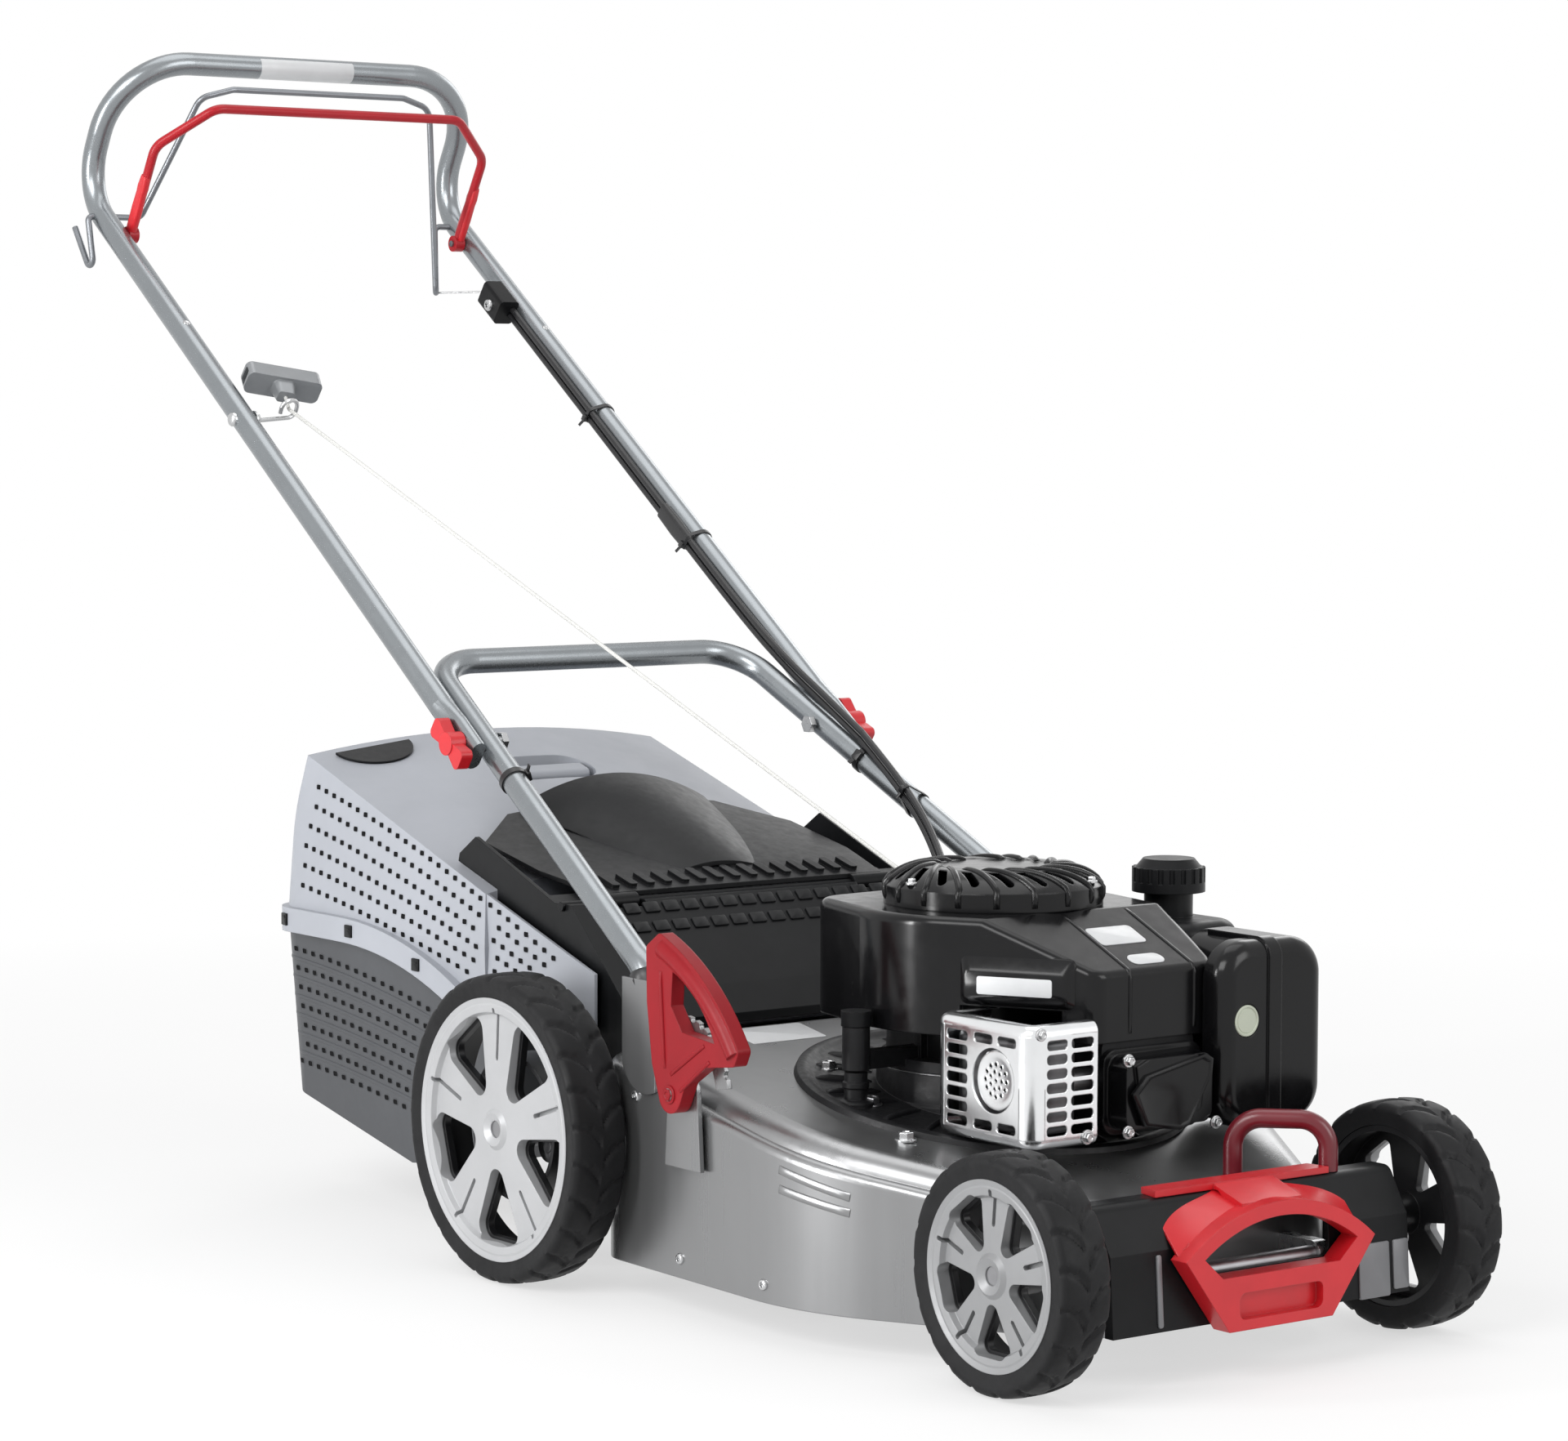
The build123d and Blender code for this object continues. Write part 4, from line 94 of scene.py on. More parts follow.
def ramp(tree, source, low, high, a=0.3, b=0.7):
    node = add_node(tree, "ValToRGB")
    node.color_ramp.elements[0].position = a
    node.color_ramp.elements[0].color = (*low, 1)
    node.color_ramp.elements[1].position = b
    node.color_ramp.elements[1].color = (*high, 1)
    link(tree, source, node.inputs["Fac"])
    return node.outputs["Color"]


def spread(tree, source, low, high, start=0.3, stop=0.7):
    node = add_node(tree, "MapRange", From_Min=start, From_Max=stop, To_Min=low, To_Max=high)
    link(tree, source, node.inputs["Value"])
    return node.outputs["Result"]


def soft_edge(tree, radius):
    """Normals rounded at the edges, as on a moulding or a pressed plate."""
    node = add_node(tree, "Bevel", Radius=radius)
    node.samples = 4
    return node.outputs["Normal"]


def bump(tree, source, strength, distance, chain=None):
    node = add_node(tree, "Bump", Strength=strength, Distance=distance)
    link(tree, source, node.inputs["Height"])
    if chain is not None:
        link(tree, chain, node.inputs["Normal"])
    return node.outputs["Normal"]


def shade(color, k):
    return tuple(min(1.0, c * k) for c in color)


def finish(name, color, rough, metal=0.0, var=0.08, patch=14.0, grain=900.0, depth=0.00005, strength=0.15,
           rough_var=0.05, stretch=None, coat=0.0, specular=0.5, edge=0.0):
    """A surface with broad colour drift, uneven gloss and a fine moulded or brushed grain."""
    m, tree, bsdf = nodes_of(name)
    broad = noise(tree, patch, 4.0, 0.6)
    link(tree, ramp(tree, broad, shade(color, 1 - var), shade(color, 1 + var)), bsdf.inputs["Base Color"])
    fine = noise(tree, grain, 2.0, 0.6, stretch)
    gloss = noise(tree, patch * 5, 5.0, 0.65, stretch)
    link(tree, spread(tree, gloss, rough - rough_var, rough + rough_var), bsdf.inputs["Roughness"])
    rounded = soft_edge(tree, edge) if edge else None
    link(tree, bump(tree, fine, strength, depth, rounded), bsdf.inputs["Normal"])
    for socket, value in (("Metallic", metal), ("Coat Weight", coat), ("Coat Roughness", 0.12),
                          ("Specular IOR Level", specular)):
        bsdf.inputs[socket].default_value = value
    return m


# Each row: name, colour, roughness, metal, drift of colour, size of its patches, grain, its depth and strength,
# drift of roughness
SILVER = finish("deck_silver", (0.27, 0.272, 0.276), 0.30, 0.88, 0.05, 4.0, 240.0, 0.00004, 0.3, 0.045,
                stretch=(1.0, 1.0, 0.05), edge=0.0012)
TUBE = finish("tube_silver", (0.255, 0.272, 0.285), 0.27, 0.85, 0.05, 9.0, 1400.0, 0.00003, 0.06, 0.04)
RIM_SILVER = (0.42, 0.425, 0.435)
BLACK = finish("black_moulding", (0.0062, 0.0065, 0.0072), 0.36, 0.0, 0.25, 20.0, 1500.0, 0.00005, 0.3, 0.06,
               specular=0.16, edge=0.001)
ENGINE = finish("engine_black", (0.0042, 0.0042, 0.0047), 0.17, 0.0, 0.2, 16.0, 1100.0, 0.00002, 0.2, 0.04,
                specular=0.27, edge=0.0018)
RED = finish("red_moulding", (0.56, 0.011, 0.018), 0.34, 0.0, 0.09, 18.0, 1300.0, 0.00004, 0.2, 0.05,
             coat=0.1, edge=0.0012)
RED_ROD = finish("red_rod", (0.37, 0.008, 0.015), 0.32, 0.0, 0.08, 22.0, 1500.0, 0.00003, 0.2, 0.05,
                 coat=0.05, specular=0.3)
LEVER_RED = finish("lever_red", (0.25, 0.006, 0.011), 0.36, 0.0, 0.1, 18.0, 1300.0, 0.00004, 0.2, 0.05,
                   specular=0.2, edge=0.0015)
# Painted shade: the moulding red darkened for the bow at the far front, which sits in shade
SHADED_RED = finish("red_painted_shade", (0.13, 0.006, 0.013), 0.32, 0.0, 0.12, 18.0, 1200.0, 0.00003, 0.2, 0.05,
                  coat=0.15)
ZINC = finish("zinc_plate", (0.52, 0.525, 0.53), 0.28, 1.0, 0.07, 26.0, 1800.0, 0.00003, 0.2, 0.08,
              edge=0.0006)
GUARD = finish("guard_plate", (0.80, 0.81, 0.82), 0.2, 1.0, 0.04, 20.0, 1600.0, 0.00002, 0.15, 0.05,
               edge=0.0012)
MUFFLER = finish("muffler_steel", (0.16, 0.16, 0.165), 0.38, 0.95, 0.15, 22.0, 900.0, 0.00004, 0.25, 0.08,
                 edge=0.001)
STEEL = finish("machined_steel", (0.30, 0.30, 0.31), 0.36, 1.0, 0.10, 30.0, 900.0, 0.00004, 0.25, 0.08,
               edge=0.0006)
ALLOY = finish("dark_cast_alloy", (0.009, 0.009, 0.010), 0.42, 0.1, 0.25, 30.0, 500.0, 0.0002, 0.4, 0.08,
               specular=0.25, edge=0.001)
CABLE = finish("cable_sheath", (0.008, 0.008, 0.009), 0.38, 0.0, 0.2, 40.0, 1800.0, 0.00003, 0.2, 0.06)
GREY_WIRE = finish("grey_wire", (0.20, 0.21, 0.225), 0.32, 0.7, 0.08, 30.0, 1800.0, 0.00003, 0.2, 0.06)
BAG_LIGHT = finish("bag_light_grey", (0.345, 0.36, 0.395), 0.44, 0.0, 0.05, 8.0, 1300.0, 0.00008, 0.3, 0.05,
                   edge=0.0012)
BAG_DARK = finish("bag_dark_grey", (0.052, 0.055, 0.061), 0.45, 0.0, 0.10, 8.0, 1300.0, 0.00008, 0.3, 0.05,
                  edge=0.0012)
GRIP_GREY = finish("grip_grey", (0.24, 0.25, 0.26), 0.34, 0.4, 0.08, 24.0, 1500.0, 0.00004, 0.2, 0.06,
                   edge=0.001)
SKIRT = finish("skirt_grey", (0.17, 0.172, 0.18), 0.36, 0.3, 0.08, 24.0, 1300.0, 0.00004, 0.2, 0.06,
               edge=0.001)
BELT = finish("belt_rubber", (0.012, 0.012, 0.013), 0.62, 0.0, 0.2, 40.0, 900.0, 0.0001, 0.3, 0.06)
# Painted shade: near-black floors for holes that are not cut through, in place of the shade inside them
HOLE_SHADE = finish("painted_hole_shade", (0.004, 0.004, 0.0045), 0.7, 0.0, 0.2, 60.0, 900.0, 0.0001, 0.2, 0.06,
              specular=0.1)
LABEL = finish("bare_label", (0.60, 0.61, 0.62), 0.36, 0.0, 0.05, 30.0, 1500.0, 0.00002, 0.2, 0.05)
BADGE = finish("bare_badge", (0.50, 0.54, 0.44), 0.33, 0.1, 0.05, 30.0, 1500.0, 0.00002, 0.2, 0.05)


def tyre_rubber():
    m, tree, bsdf = nodes_of("tyre_rubber")
    broad = noise(tree, 24.0, 5.0, 0.65)
    link(tree, ramp(tree, broad, (0.005, 0.005, 0.0055), (0.011, 0.011, 0.012)), bsdf.inputs["Base Color"])
    link(tree, spread(tree, noise(tree, 90.0, 4.0, 0.6), 0.48, 0.62), bsdf.inputs["Roughness"])
    link(tree, bump(tree, noise(tree, 1100.0, 2.0, 0.6), 0.3, 0.0001), bsdf.inputs["Normal"])
    bsdf.inputs["Specular IOR Level"].default_value = 0.2
    return m


def rope_braid():
    m, tree, bsdf = nodes_of("rope_braid")
    fine = noise(tree, 900.0, 3.0, 0.6)
    link(tree, ramp(tree, fine, (0.52, 0.52, 0.50), (0.74, 0.74, 0.72)), bsdf.inputs["Base Color"])
    link(tree, bump(tree, fine, 0.5, 0.0002), bsdf.inputs["Normal"])
    bsdf.inputs["Roughness"].default_value = 0.75
    return m


def rim_with_painted_shade(name, face_y, dark_from, dark_to, light_level):
    """Silver spokes and ring in front, black painted shade behind them in the windows; the depth from the outer
    face decides.
    """
    m, tree, bsdf = nodes_of(name)
    split = add_node(tree, "SeparateXYZ")
    link(tree, add_node(tree, "TexCoord").outputs["Object"], split.inputs["Vector"])
    size = add_node(tree, "Math")
    size.operation = "ABSOLUTE"
    link(tree, split.outputs["Y"], size.inputs[0])
    depth = spread(tree, size.outputs["Value"], 0.0, 1.0, face_y - dark_from, face_y - dark_to)
    broad = noise(tree, 14.0, 4.0, 0.6)
    # The silver is darkened by the light level: painted shade on the front rims
    silver = ramp(tree, broad, shade(RIM_SILVER, 0.94 * light_level), shade(RIM_SILVER, 1.06 * light_level))
    black = ramp(tree, broad, (0.006, 0.006, 0.007), (0.011, 0.011, 0.012))
    mix = add_node(tree, "Mix")
    mix.data_type = "RGBA"
    link(tree, depth, mix.inputs["Factor"])
    link(tree, silver, mix.inputs["A"])
    link(tree, black, mix.inputs["B"])
    link(tree, mix.outputs["Result"], bsdf.inputs["Base Color"])
    link(tree, spread(tree, noise(tree, 70.0, 5.0, 0.65), 0.34, 0.44), bsdf.inputs["Roughness"])
    grain = noise(tree, 1200.0, 2.0, 0.6)
    link(tree, bump(tree, grain, 0.2, 0.00004, soft_edge(tree, 0.001)), bsdf.inputs["Normal"])
    bsdf.inputs["Metallic"].default_value = 0.2
    return m


TYRE = tyre_rubber()
ROPE = rope_braid()
# Front rims take a darker copy of the silver as painted shade; on all rims, the black behind the spokes is
# painted shade
RIM_REAR = rim_with_painted_shade("rim_rear_painted_shade", 0.283, 0.0135, 0.0145, 0.96)
RIM_FRONT = rim_with_painted_shade("rim_front_painted_shade", 0.222, 0.0135, 0.0145, 0.62)

painted = (
    (SILVER, "deck_housing", "handle_brackets", "height_quadrant"),
    (BLACK, "rear_hood", "fuel_tank", "front_cover", "flap_hinge_rod", "fuel_cap", "dipstick", "cable_bracket",
     "rear_flap", "level_flap"),
    (ENGINE, "rocker_cover", "blower_housing", "recoil_cover", "air_filter", "recoil_reel"),
    (ALLOY, "gearbox", "crankcase", "cylinder", "flywheel"),
    (STEEL, "rear_axle", "front_axle", "drive_shaft", "input_pulley", "crankshaft", "blade_holder", "blade"),
    (ZINC, "axle_bearings", "fold_bolts", "stop_wire", "rope_guide"),
    (MUFFLER, "muffler"), (GUARD, "muffler_guard"), (BELT, "drive_belt"),
    (TUBE, "lower_handle", "upper_handle"), (GREY_WIRE, "stop_bail"), (GRIP_GREY, "starter_grip"),
    (RED, "carry_grip", "wing_nut_right", "wing_nut_left"), (SHADED_RED, "front_bow"),
    (LEVER_RED, "height_lever"), (RED_ROD, "drive_bail"),
    (CABLE, "cables_lower", "cables_fold", "cables_upper"), (ROPE, "starter_rope", "rope_tail"),
    (BAG_LIGHT, "catcher_upper"), (BAG_DARK, "catcher_lower"),
    (TYRE, "tyre_rear_right", "tyre_rear_left", "tyre_front_right", "tyre_front_left"),
    (RIM_REAR, "rim_rear_right", "rim_rear_left"), (RIM_FRONT, "rim_front_right", "rim_front_left"),
)
for material, *names in painted:
    for name in names:
        data = nodes[name].data
        data.materials.clear()
        data.materials.append(material)


# Mesh helpers: pieces are drawn in millimetres and scaled to metres when they are made
SHARP = math.radians(35)
trees = {}


def show(name, data):
    obj = bpy.data.objects.new(name, data)
    bpy.context.scene.collection.objects.link(obj)
    return obj


def piece(name, bm, materials, body=None):
    bmesh.ops.recalc_face_normals(bm, faces=bm.faces)
    for face in bm.faces:
        face.smooth = True
    for edge in bm.edges:
        edge.smooth = edge.calc_face_angle(0.0) < SHARP
    bmesh.ops.scale(bm, vec=(MM, MM, MM), verts=bm.verts)
    data = bpy.data.meshes.new(name)
    bm.to_mesh(data)
    bm.free()
    obj = show(name, data)
    for material in materials:
        data.materials.append(material)
    if body:
        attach(obj, body)
    return obj


def surface(node, point, direction):
    """Where a ray meets a node's solid, and the normal there, or None."""
    if node not in trees:
        data = nodes[node].data
        corners = [v.co * 1000 for v in data.vertices]
        trees[node] = BVHTree.FromPolygons(corners, [list(p.vertices) for p in data.polygons])
    hit, normal, _, _ = trees[node].ray_cast(Vector(point), Vector(direction).normalized())
    if hit is None:
        return None
    return hit, (-normal if normal.dot(Vector(direction)) > 0 else normal)


def from_side(node, x, z, side):
    """Where a node's right (-1) or left (1) side is met from outside."""
    return surface(node, (x, side * OUTSIDE, z), (0, -side, 0))


def basis(normal, up):
    out = Vector(normal).normalized()
    rise = Vector(up)
    rise = (rise - out * rise.dot(out)).normalized()
    return rise.cross(out), rise, out


def ring_at(centre, axes, flat, height):
    """An outline set in space, in the plane of the first two axes and at a height along the third."""
    right, rise, out = axes
    return [centre + right * x + rise * y + out * height for x, y in flat]


def add_rings(bm, rings, ends=(True, True), closed=False, last=0):
    made = [[bm.verts.new(point) for point in ring] for ring in rings]
    pairs = list(zip(made, made[1:]))
    if closed:
        pairs.append((made[-1], made[0]))
    count = len(rings[0])
    for a, b in pairs:
        for i in range(count):
            j = (i + 1) % count
            bm.faces.new((a[i], a[j], b[j], b[i]))
    if ends[0] and not closed:
        bm.faces.new(made[0][::-1])
    if ends[1] and not closed:
        bm.faces.new(made[-1]).material_index = last


def outline(w, h, r, steps=4):
    points = []
    r = max(0.05, min(r, w / 2 - 0.01, h / 2 - 0.01))
    for sx, sy, first in ((1, 1, 0), (-1, 1, 90), (-1, -1, 180), (1, -1, 270)):
        for k in range(steps + 1):
            turn = math.radians(first + 90 * k / steps)
            points.append((sx * (w / 2 - r) + r * math.cos(turn), sy * (h / 2 - r) + r * math.sin(turn)))
    return points


def circle(radius, count):
    turns = [2 * math.pi * k / count for k in range(count)]
    return [(radius * math.cos(turn), radius * math.sin(turn)) for turn in turns]


def add_plate(bm, centre, normal, up, w, h, t, r, edge=0.4, sink=0.6):
    """Rounded plate with a chamfered rim, its back sunk into what carries it."""
    axes = basis(normal, up)
    rings = []
    for inset, height in ((0, -sink), (0, t - edge), (edge * 0.3, t - edge * 0.3), (edge, t)):
        rings.append(ring_at(centre, axes, outline(w - 2 * inset, h - 2 * inset, r - inset), height))
    add_rings(bm, rings)


def add_lathe(bm, centre, axis, profile, seg=24, last=0):
    """Turned form: the profile gives (radius, height) pairs from its foot to its top."""
    helper = (0, 0, 1) if abs(Vector(axis).normalized().z) < 0.9 else (1, 0, 0)
    axes = basis(axis, helper)
    add_rings(bm, [ring_at(centre, axes, circle(radius, seg), height) for radius, height in profile], last=last)


def add_hex(bm, centre, axis, r, h):
    """Hexagon head on a washer."""
    washer = r * 1.45
    add_lathe(bm, centre, axis, [(washer, -0.8), (washer, 0.8), (washer - 0.4, 1.2), (r * 0.8, 1.2)])
    add_lathe(bm, centre, axis, [(r, 1.0), (r, h - 0.7), (r * 0.9, h), (r * 0.55, h), (r * 0.5, h - 0.6),
                                 (0.05, h - 0.6)], 6)


def add_screw(bm, centre, axis, r, h):
    """Pan head with a driver recess."""
    add_lathe(bm, centre, axis, [(r, -0.8), (r, h * 0.35), (r * 0.85, h * 0.8), (r * 0.55, h), (r * 0.42, h),
                                 (r * 0.36, h * 0.25), (0.05, h * 0.25)], 20)


def add_tube(bm, line, radius, seg=12, lobes=0, twist=0.0):
    """Round tube along a line of points; lobes and twist lay strands round it."""
    rings = []
    rise = None
    run = 0.0
    for i, point in enumerate(line):
        ahead = (line[min(i + 1, len(line) - 1)] - line[max(i - 1, 0)]).normalized()
        if rise is None:
            rise = Vector((0, 0, 1)) if abs(ahead.z) < 0.9 else Vector((1, 0, 0))
        rise = (rise - ahead * rise.dot(ahead)).normalized()
        right = ahead.cross(rise)
        if i:
            run += (point - line[i - 1]).length
        ring = []
        for k in range(seg):
            turn = 2 * math.pi * k / seg
            size = radius
            if lobes:
                size *= 0.94 + 0.06 * abs(math.cos(lobes * (turn - twist * run) / 2))
            ring.append(point + right * size * math.cos(turn) + rise * size * math.sin(turn))
        rings.append(ring)
    add_rings(bm, rings)


def add_bead(bm, spots, width, height):
    """Half-round bead along points on a surface, each with its normal; it fades out at both ends."""
    rings = []
    for i, (point, normal) in enumerate(spots):
        ahead = (spots[min(i + 1, len(spots) - 1)][0] - spots[max(i - 1, 0)][0]).normalized()
        side = ahead.cross(normal).normalized()
        fade = min(1.0, 0.25 + i / 2, 0.25 + (len(spots) - 1 - i) / 2)
        ring = [point - normal * 0.5 - side * width / 2]
        for turn in (180, 150, 120, 90, 60, 30, 0):
            a = math.radians(turn)
            ring.append(point + side * (width / 2) * math.cos(a) + normal * height * fade * math.sin(a))
        ring.append(point - normal * 0.5 + side * width / 2)
        rings.append(ring)
    if len(rings) > 1:
        add_rings(bm, rings)


def hull(points):
    """Convex outline of points in a plane."""
    points = sorted(set(points))

    def half(run):
        chain = []
        for p in run:
            while len(chain) > 1 and ((chain[-1][0] - chain[-2][0]) * (p[1] - chain[-2][1])
                                      - (chain[-1][1] - chain[-2][1]) * (p[0] - chain[-2][0])) <= 0:
                chain.pop()
            chain.append(p)
        return chain[:-1]

    return half(points) + half(points[::-1])


def add_tie(bm, origin, axis, up, rounds, width=4.2, thick=1.1):
    """Cable tie pulled round one or more round sections, with its head and a cut tail."""
    right, rise, out = basis(axis, up)

    def loop(grow):
        return hull([(round(x + dx, 4), round(y + dy, 4))
                     for x, y, r in rounds for dx, dy in circle(r + grow, 24)])

    inner, outer = loop(0.05), loop(0.05 + thick)
    count = min(len(inner), len(outer))
    inner, outer = inner[:count], outer[:count]
    rings = []
    for flat, depth in ((inner, -width / 2), (outer, -width / 2), (outer, width / 2), (inner, width / 2)):
        rings.append(ring_at(origin, (right, rise, out), flat, depth))
    add_rings(bm, rings, closed=True)
    x, y = max(outer, key=lambda p: p[1])
    head = origin + right * x + rise * (y - 0.4)
    add_plate(bm, head, rise, out, width * 1.5, width * 1.25, 3.0, 0.8, 0.4, 0.4)
    add_plate(bm, head + right * width * 0.6 + rise * 1.2, right + rise * 0.5, out, 1.2, width * 0.7, 7.0, 0.4,
              0.3, 0.4)


def nurbs_line(route, resolution=14):
    """Points of a smooth NURBS line with the route's points as its control points."""
    curve = bpy.data.curves.new("route", "CURVE")
    curve.dimensions = "3D"
    curve.resolution_u = resolution
    spline = curve.splines.new("NURBS")
    spline.points.add(len(route) - 1)
    for point, place in zip(spline.points, route):
        point.co = (*place, 1)
    spline.order_u = 3
    spline.use_endpoint_u = True
    obj = show("route", curve)
    bpy.context.view_layer.update()
    mesh = bpy.data.meshes.new_from_object(obj.evaluated_get(bpy.context.evaluated_depsgraph_get()))
    line = [v.co.copy() for v in mesh.vertices]
    bpy.data.meshes.remove(mesh)
    bpy.data.objects.remove(obj)
    bpy.data.curves.remove(curve)
    return line


def straight(a, b, count):
    return [a.lerp(b, k / count) for k in range(count + 1)]


# Tyres: square shoulders and two offset rows of curved, hooked cuts
TYRE_WALL, CROWN_STEPS, PITCH_STEPS = 19.0, 20, 14
CUT_DEPTH, CUT_HALF, NOTCH_DEPTH, NOTCH_HALF, SHOULDER_FALL = 2.2, 0.115, 1.4, 0.07, 0.9


def make_tyre(axle_x, wheel_d, width, face_y, side, pitches):
    """The profile gives radius, depth from the outer face, and whether the tread is cut there."""
    radius = wheel_d / 2
    seat = radius - TYRE_WALL + 0.1
    shoulder = [(seat, 2.0, 0), (seat + 5, 1.2, 0), (radius - 9, 0.2, 0), (radius - 6, 0.0, 0),
                (radius - 3.2, 1.2, 1), (radius - 1.6, 3.2, 1)]
    profile = list(shoulder)
    for i in range(CROWN_STEPS + 1):
        v = -1 + 2 * i / CROWN_STEPS
        profile.append((radius - 1.3 * v * v * abs(v), width / 2 + v * (width / 2 - 5.0), 1))
    profile += [(r, width - depth, tread) for r, depth, tread in reversed(shoulder)]
    around = pitches * PITCH_STEPS
    bm = bmesh.new()
    rings = []
    for k in range(around):
        turn = 2 * math.pi * k / around
        ring = []
        for r, depth, tread in profile:
            v = (depth - width / 2) / (width / 2)
            cut = 0.0
            if tread:
                half = abs(v)
                row = 0.0 if v < 0 else 0.5
                hook = 0.62 * (1 - (1 - min(1.0, half)) ** 2) + row
                phase = (k / PITCH_STEPS - hook) % 1.0
                gap = min(phase, 1 - phase)
                if 0.06 < half:
                    cut = CUT_DEPTH * max(0.0, 1 - (gap / CUT_HALF) ** 2)
                mid = (k / PITCH_STEPS - row - 0.18 - 0.9 * half) % 1.0
                if 0.06 < half < 0.45 and min(mid, 1 - mid) < NOTCH_HALF:
                    cut = max(cut, NOTCH_DEPTH)
                if half > 0.8:
                    cut += SHOULDER_FALL * phase * (half - 0.8) / 0.2
            rr = r - cut
            y = side * (face_y - depth)
            ring.append(Vector((axle_x + rr * math.cos(turn), y, radius + rr * math.sin(turn))))
        rings.append(ring)
    add_rings(bm, rings, closed=True)
    return bm


for end, axle_x, wheel_d, width, face_y, pitches in (("rear", REAR_X, 254.0, 50.0, 283.0, 26),
                                                     ("front", FRONT_X, 180.0, 46.0, 222.0, 19)):
    for hand, side in (("right", -1), ("left", 1)):
        bm = make_tyre(axle_x, wheel_d, width, face_y, side, pitches)
        tread = piece(f"tread_{end}_{hand}", bm, [TYRE], f"wheel_{end}_{hand}")
        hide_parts(f"tyre_{end}_{hand}")


# Cables and rope: smooth lines through the routes of the solids that they replace
CABLE_R, CABLE_PITCH = 3.0, 7.2
CABLE_Y = UPPER_Y - TUBE_R - CABLE_R - 0.6
ROPE_R, WIRE_R, STRANDS, LAY = 1.68, 1.0, 3, 0.9


def beside_upper(along, rise):
    return Vector((FOLD.x, CABLE_Y, FOLD.z)) + UPPER_DIR * along + UPPER_UP * rise


fold_route = [beside_upper(264, -CABLE_PITCH / 2), beside_upper(150, -CABLE_PITCH / 2),
              Vector((-124.6, 181, 472.5)), Vector((-74.6, 180.5, 447.5)), Vector((-24.6, 183.5, 418))]
lower_route = [Vector((-24.1, 183.5, 417.7)), Vector((32.4, 177, 386)), Vector((90.4, 165, 352)),
               Vector((148.4, 140, 318)), Vector((204.4, 106, 284)), Vector((255.4, 70, 253)),
               Vector((294.2, 36, 234))]
second = UPPER_UP * CABLE_PITCH
bm = bmesh.new()
add_tube(bm, nurbs_line(lower_route), CABLE_R)
add_tube(bm, nurbs_line([p + second for p in lower_route]), CABLE_R)
obj = piece("cable_pair_lower", bm, [CABLE], "deck")
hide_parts("cables_lower")

bm = bmesh.new()
add_tube(bm, nurbs_line(fold_route, 24), CABLE_R)
add_tube(bm, nurbs_line([p + second for p in fold_route], 24), CABLE_R)
obj = piece("cable_pair_fold", bm, [CABLE], None)
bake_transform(obj)
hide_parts("cables_fold")

bm = bmesh.new()
add_tube(bm, straight(ROPE_ENTRY, EYE, 400), ROPE_R, 12, STRANDS, LAY)
obj = piece("rope_run", bm, [ROPE], None)
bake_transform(obj)
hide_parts("starter_rope")

TAIL_FROM, TAIL_TO = EYE + PULL * 1.2, EYE + PULL * 17.4
bm = bmesh.new()
add_tube(bm, straight(TAIL_FROM, TAIL_TO, 60), ROPE_R, 12, STRANDS, LAY)
obj = piece("rope_pull", bm, [ROPE], None)
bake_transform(obj)
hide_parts("rope_tail")

WIRE_HOOK = Vector((-681.5, 152.0, 823.0))
WIRE_END = beside_upper(676.9, 0)
bm = bmesh.new()
wire_tip = WIRE_HOOK + (WIRE_END - WIRE_HOOK).normalized() * 1.5
add_tube(bm, straight(WIRE_END, wire_tip, 40), WIRE_R, 10, 2, 0.95)
obj = piece("wire_run", bm, [ZINC], None)
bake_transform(obj)
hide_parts("stop_wire")


# Grass catcher: rows of vent holes, ribs between the lower rows, and the clips along the seam
def flat_here(node, x, z, side):
    """The point on the catcher's side wall, where the wall is even all round it."""
    spots = [from_side(node, x + dx, z + dz, side) for dx, dz in ((0, 0), (5, 0), (-5, 0), (0, 4), (0, -4))]
    if None in spots or max(abs(s[0].y - spots[0][0].y) for s in spots) > 1.0:
        return None
    return spots[0]


def add_hole(bm, point, normal, w=6.8, h=4.4):
    """Vent hole with a raised rim and a shallow floor painted dark as the shade inside the hole."""
    axes = basis(normal, (0, 0, 1))
    rings = []
    for grow, height in ((0.7, -0.2), (0.55, 0.3), (0.1, 0.36), (0.0, 0.3), (0.0, 0.05)):
        rings.append(ring_at(point, axes, outline(w + 2 * grow, h + 2 * grow, 1.2 + grow, 2), height))
    add_rings(bm, rings, (False, True), last=1)


def row_points(a, b, crown, pitch):
    count = max(2, int((Vector(b) - Vector(a)).length / pitch))
    places = []
    for k in range(count + 1):
        t = k / count
        places.append((a[0] + (b[0] - a[0]) * t, a[1] + (b[1] - a[1]) * t + crown * 4 * t * (1 - t)))
    return places


VENT_PITCH = 14.0
upper_rows = [((-336, 371), (50, 257), 9), ((-338, 353), (36, 250), 8), ((-346, 335), (14, 245), 7),
              ((-352, 317), (-8, 240), 6), ((-352, 299), (-40, 236), 5), ((-354, 281), (-80, 232), 4)]
lower_rows = []
for i in range(7):
    t = i / 6
    lower_rows.append(((-382 + 12 * t, 223 - 104 * t), (-147 - 36 * t, 192 - 95 * t), 5 - 3 * t))

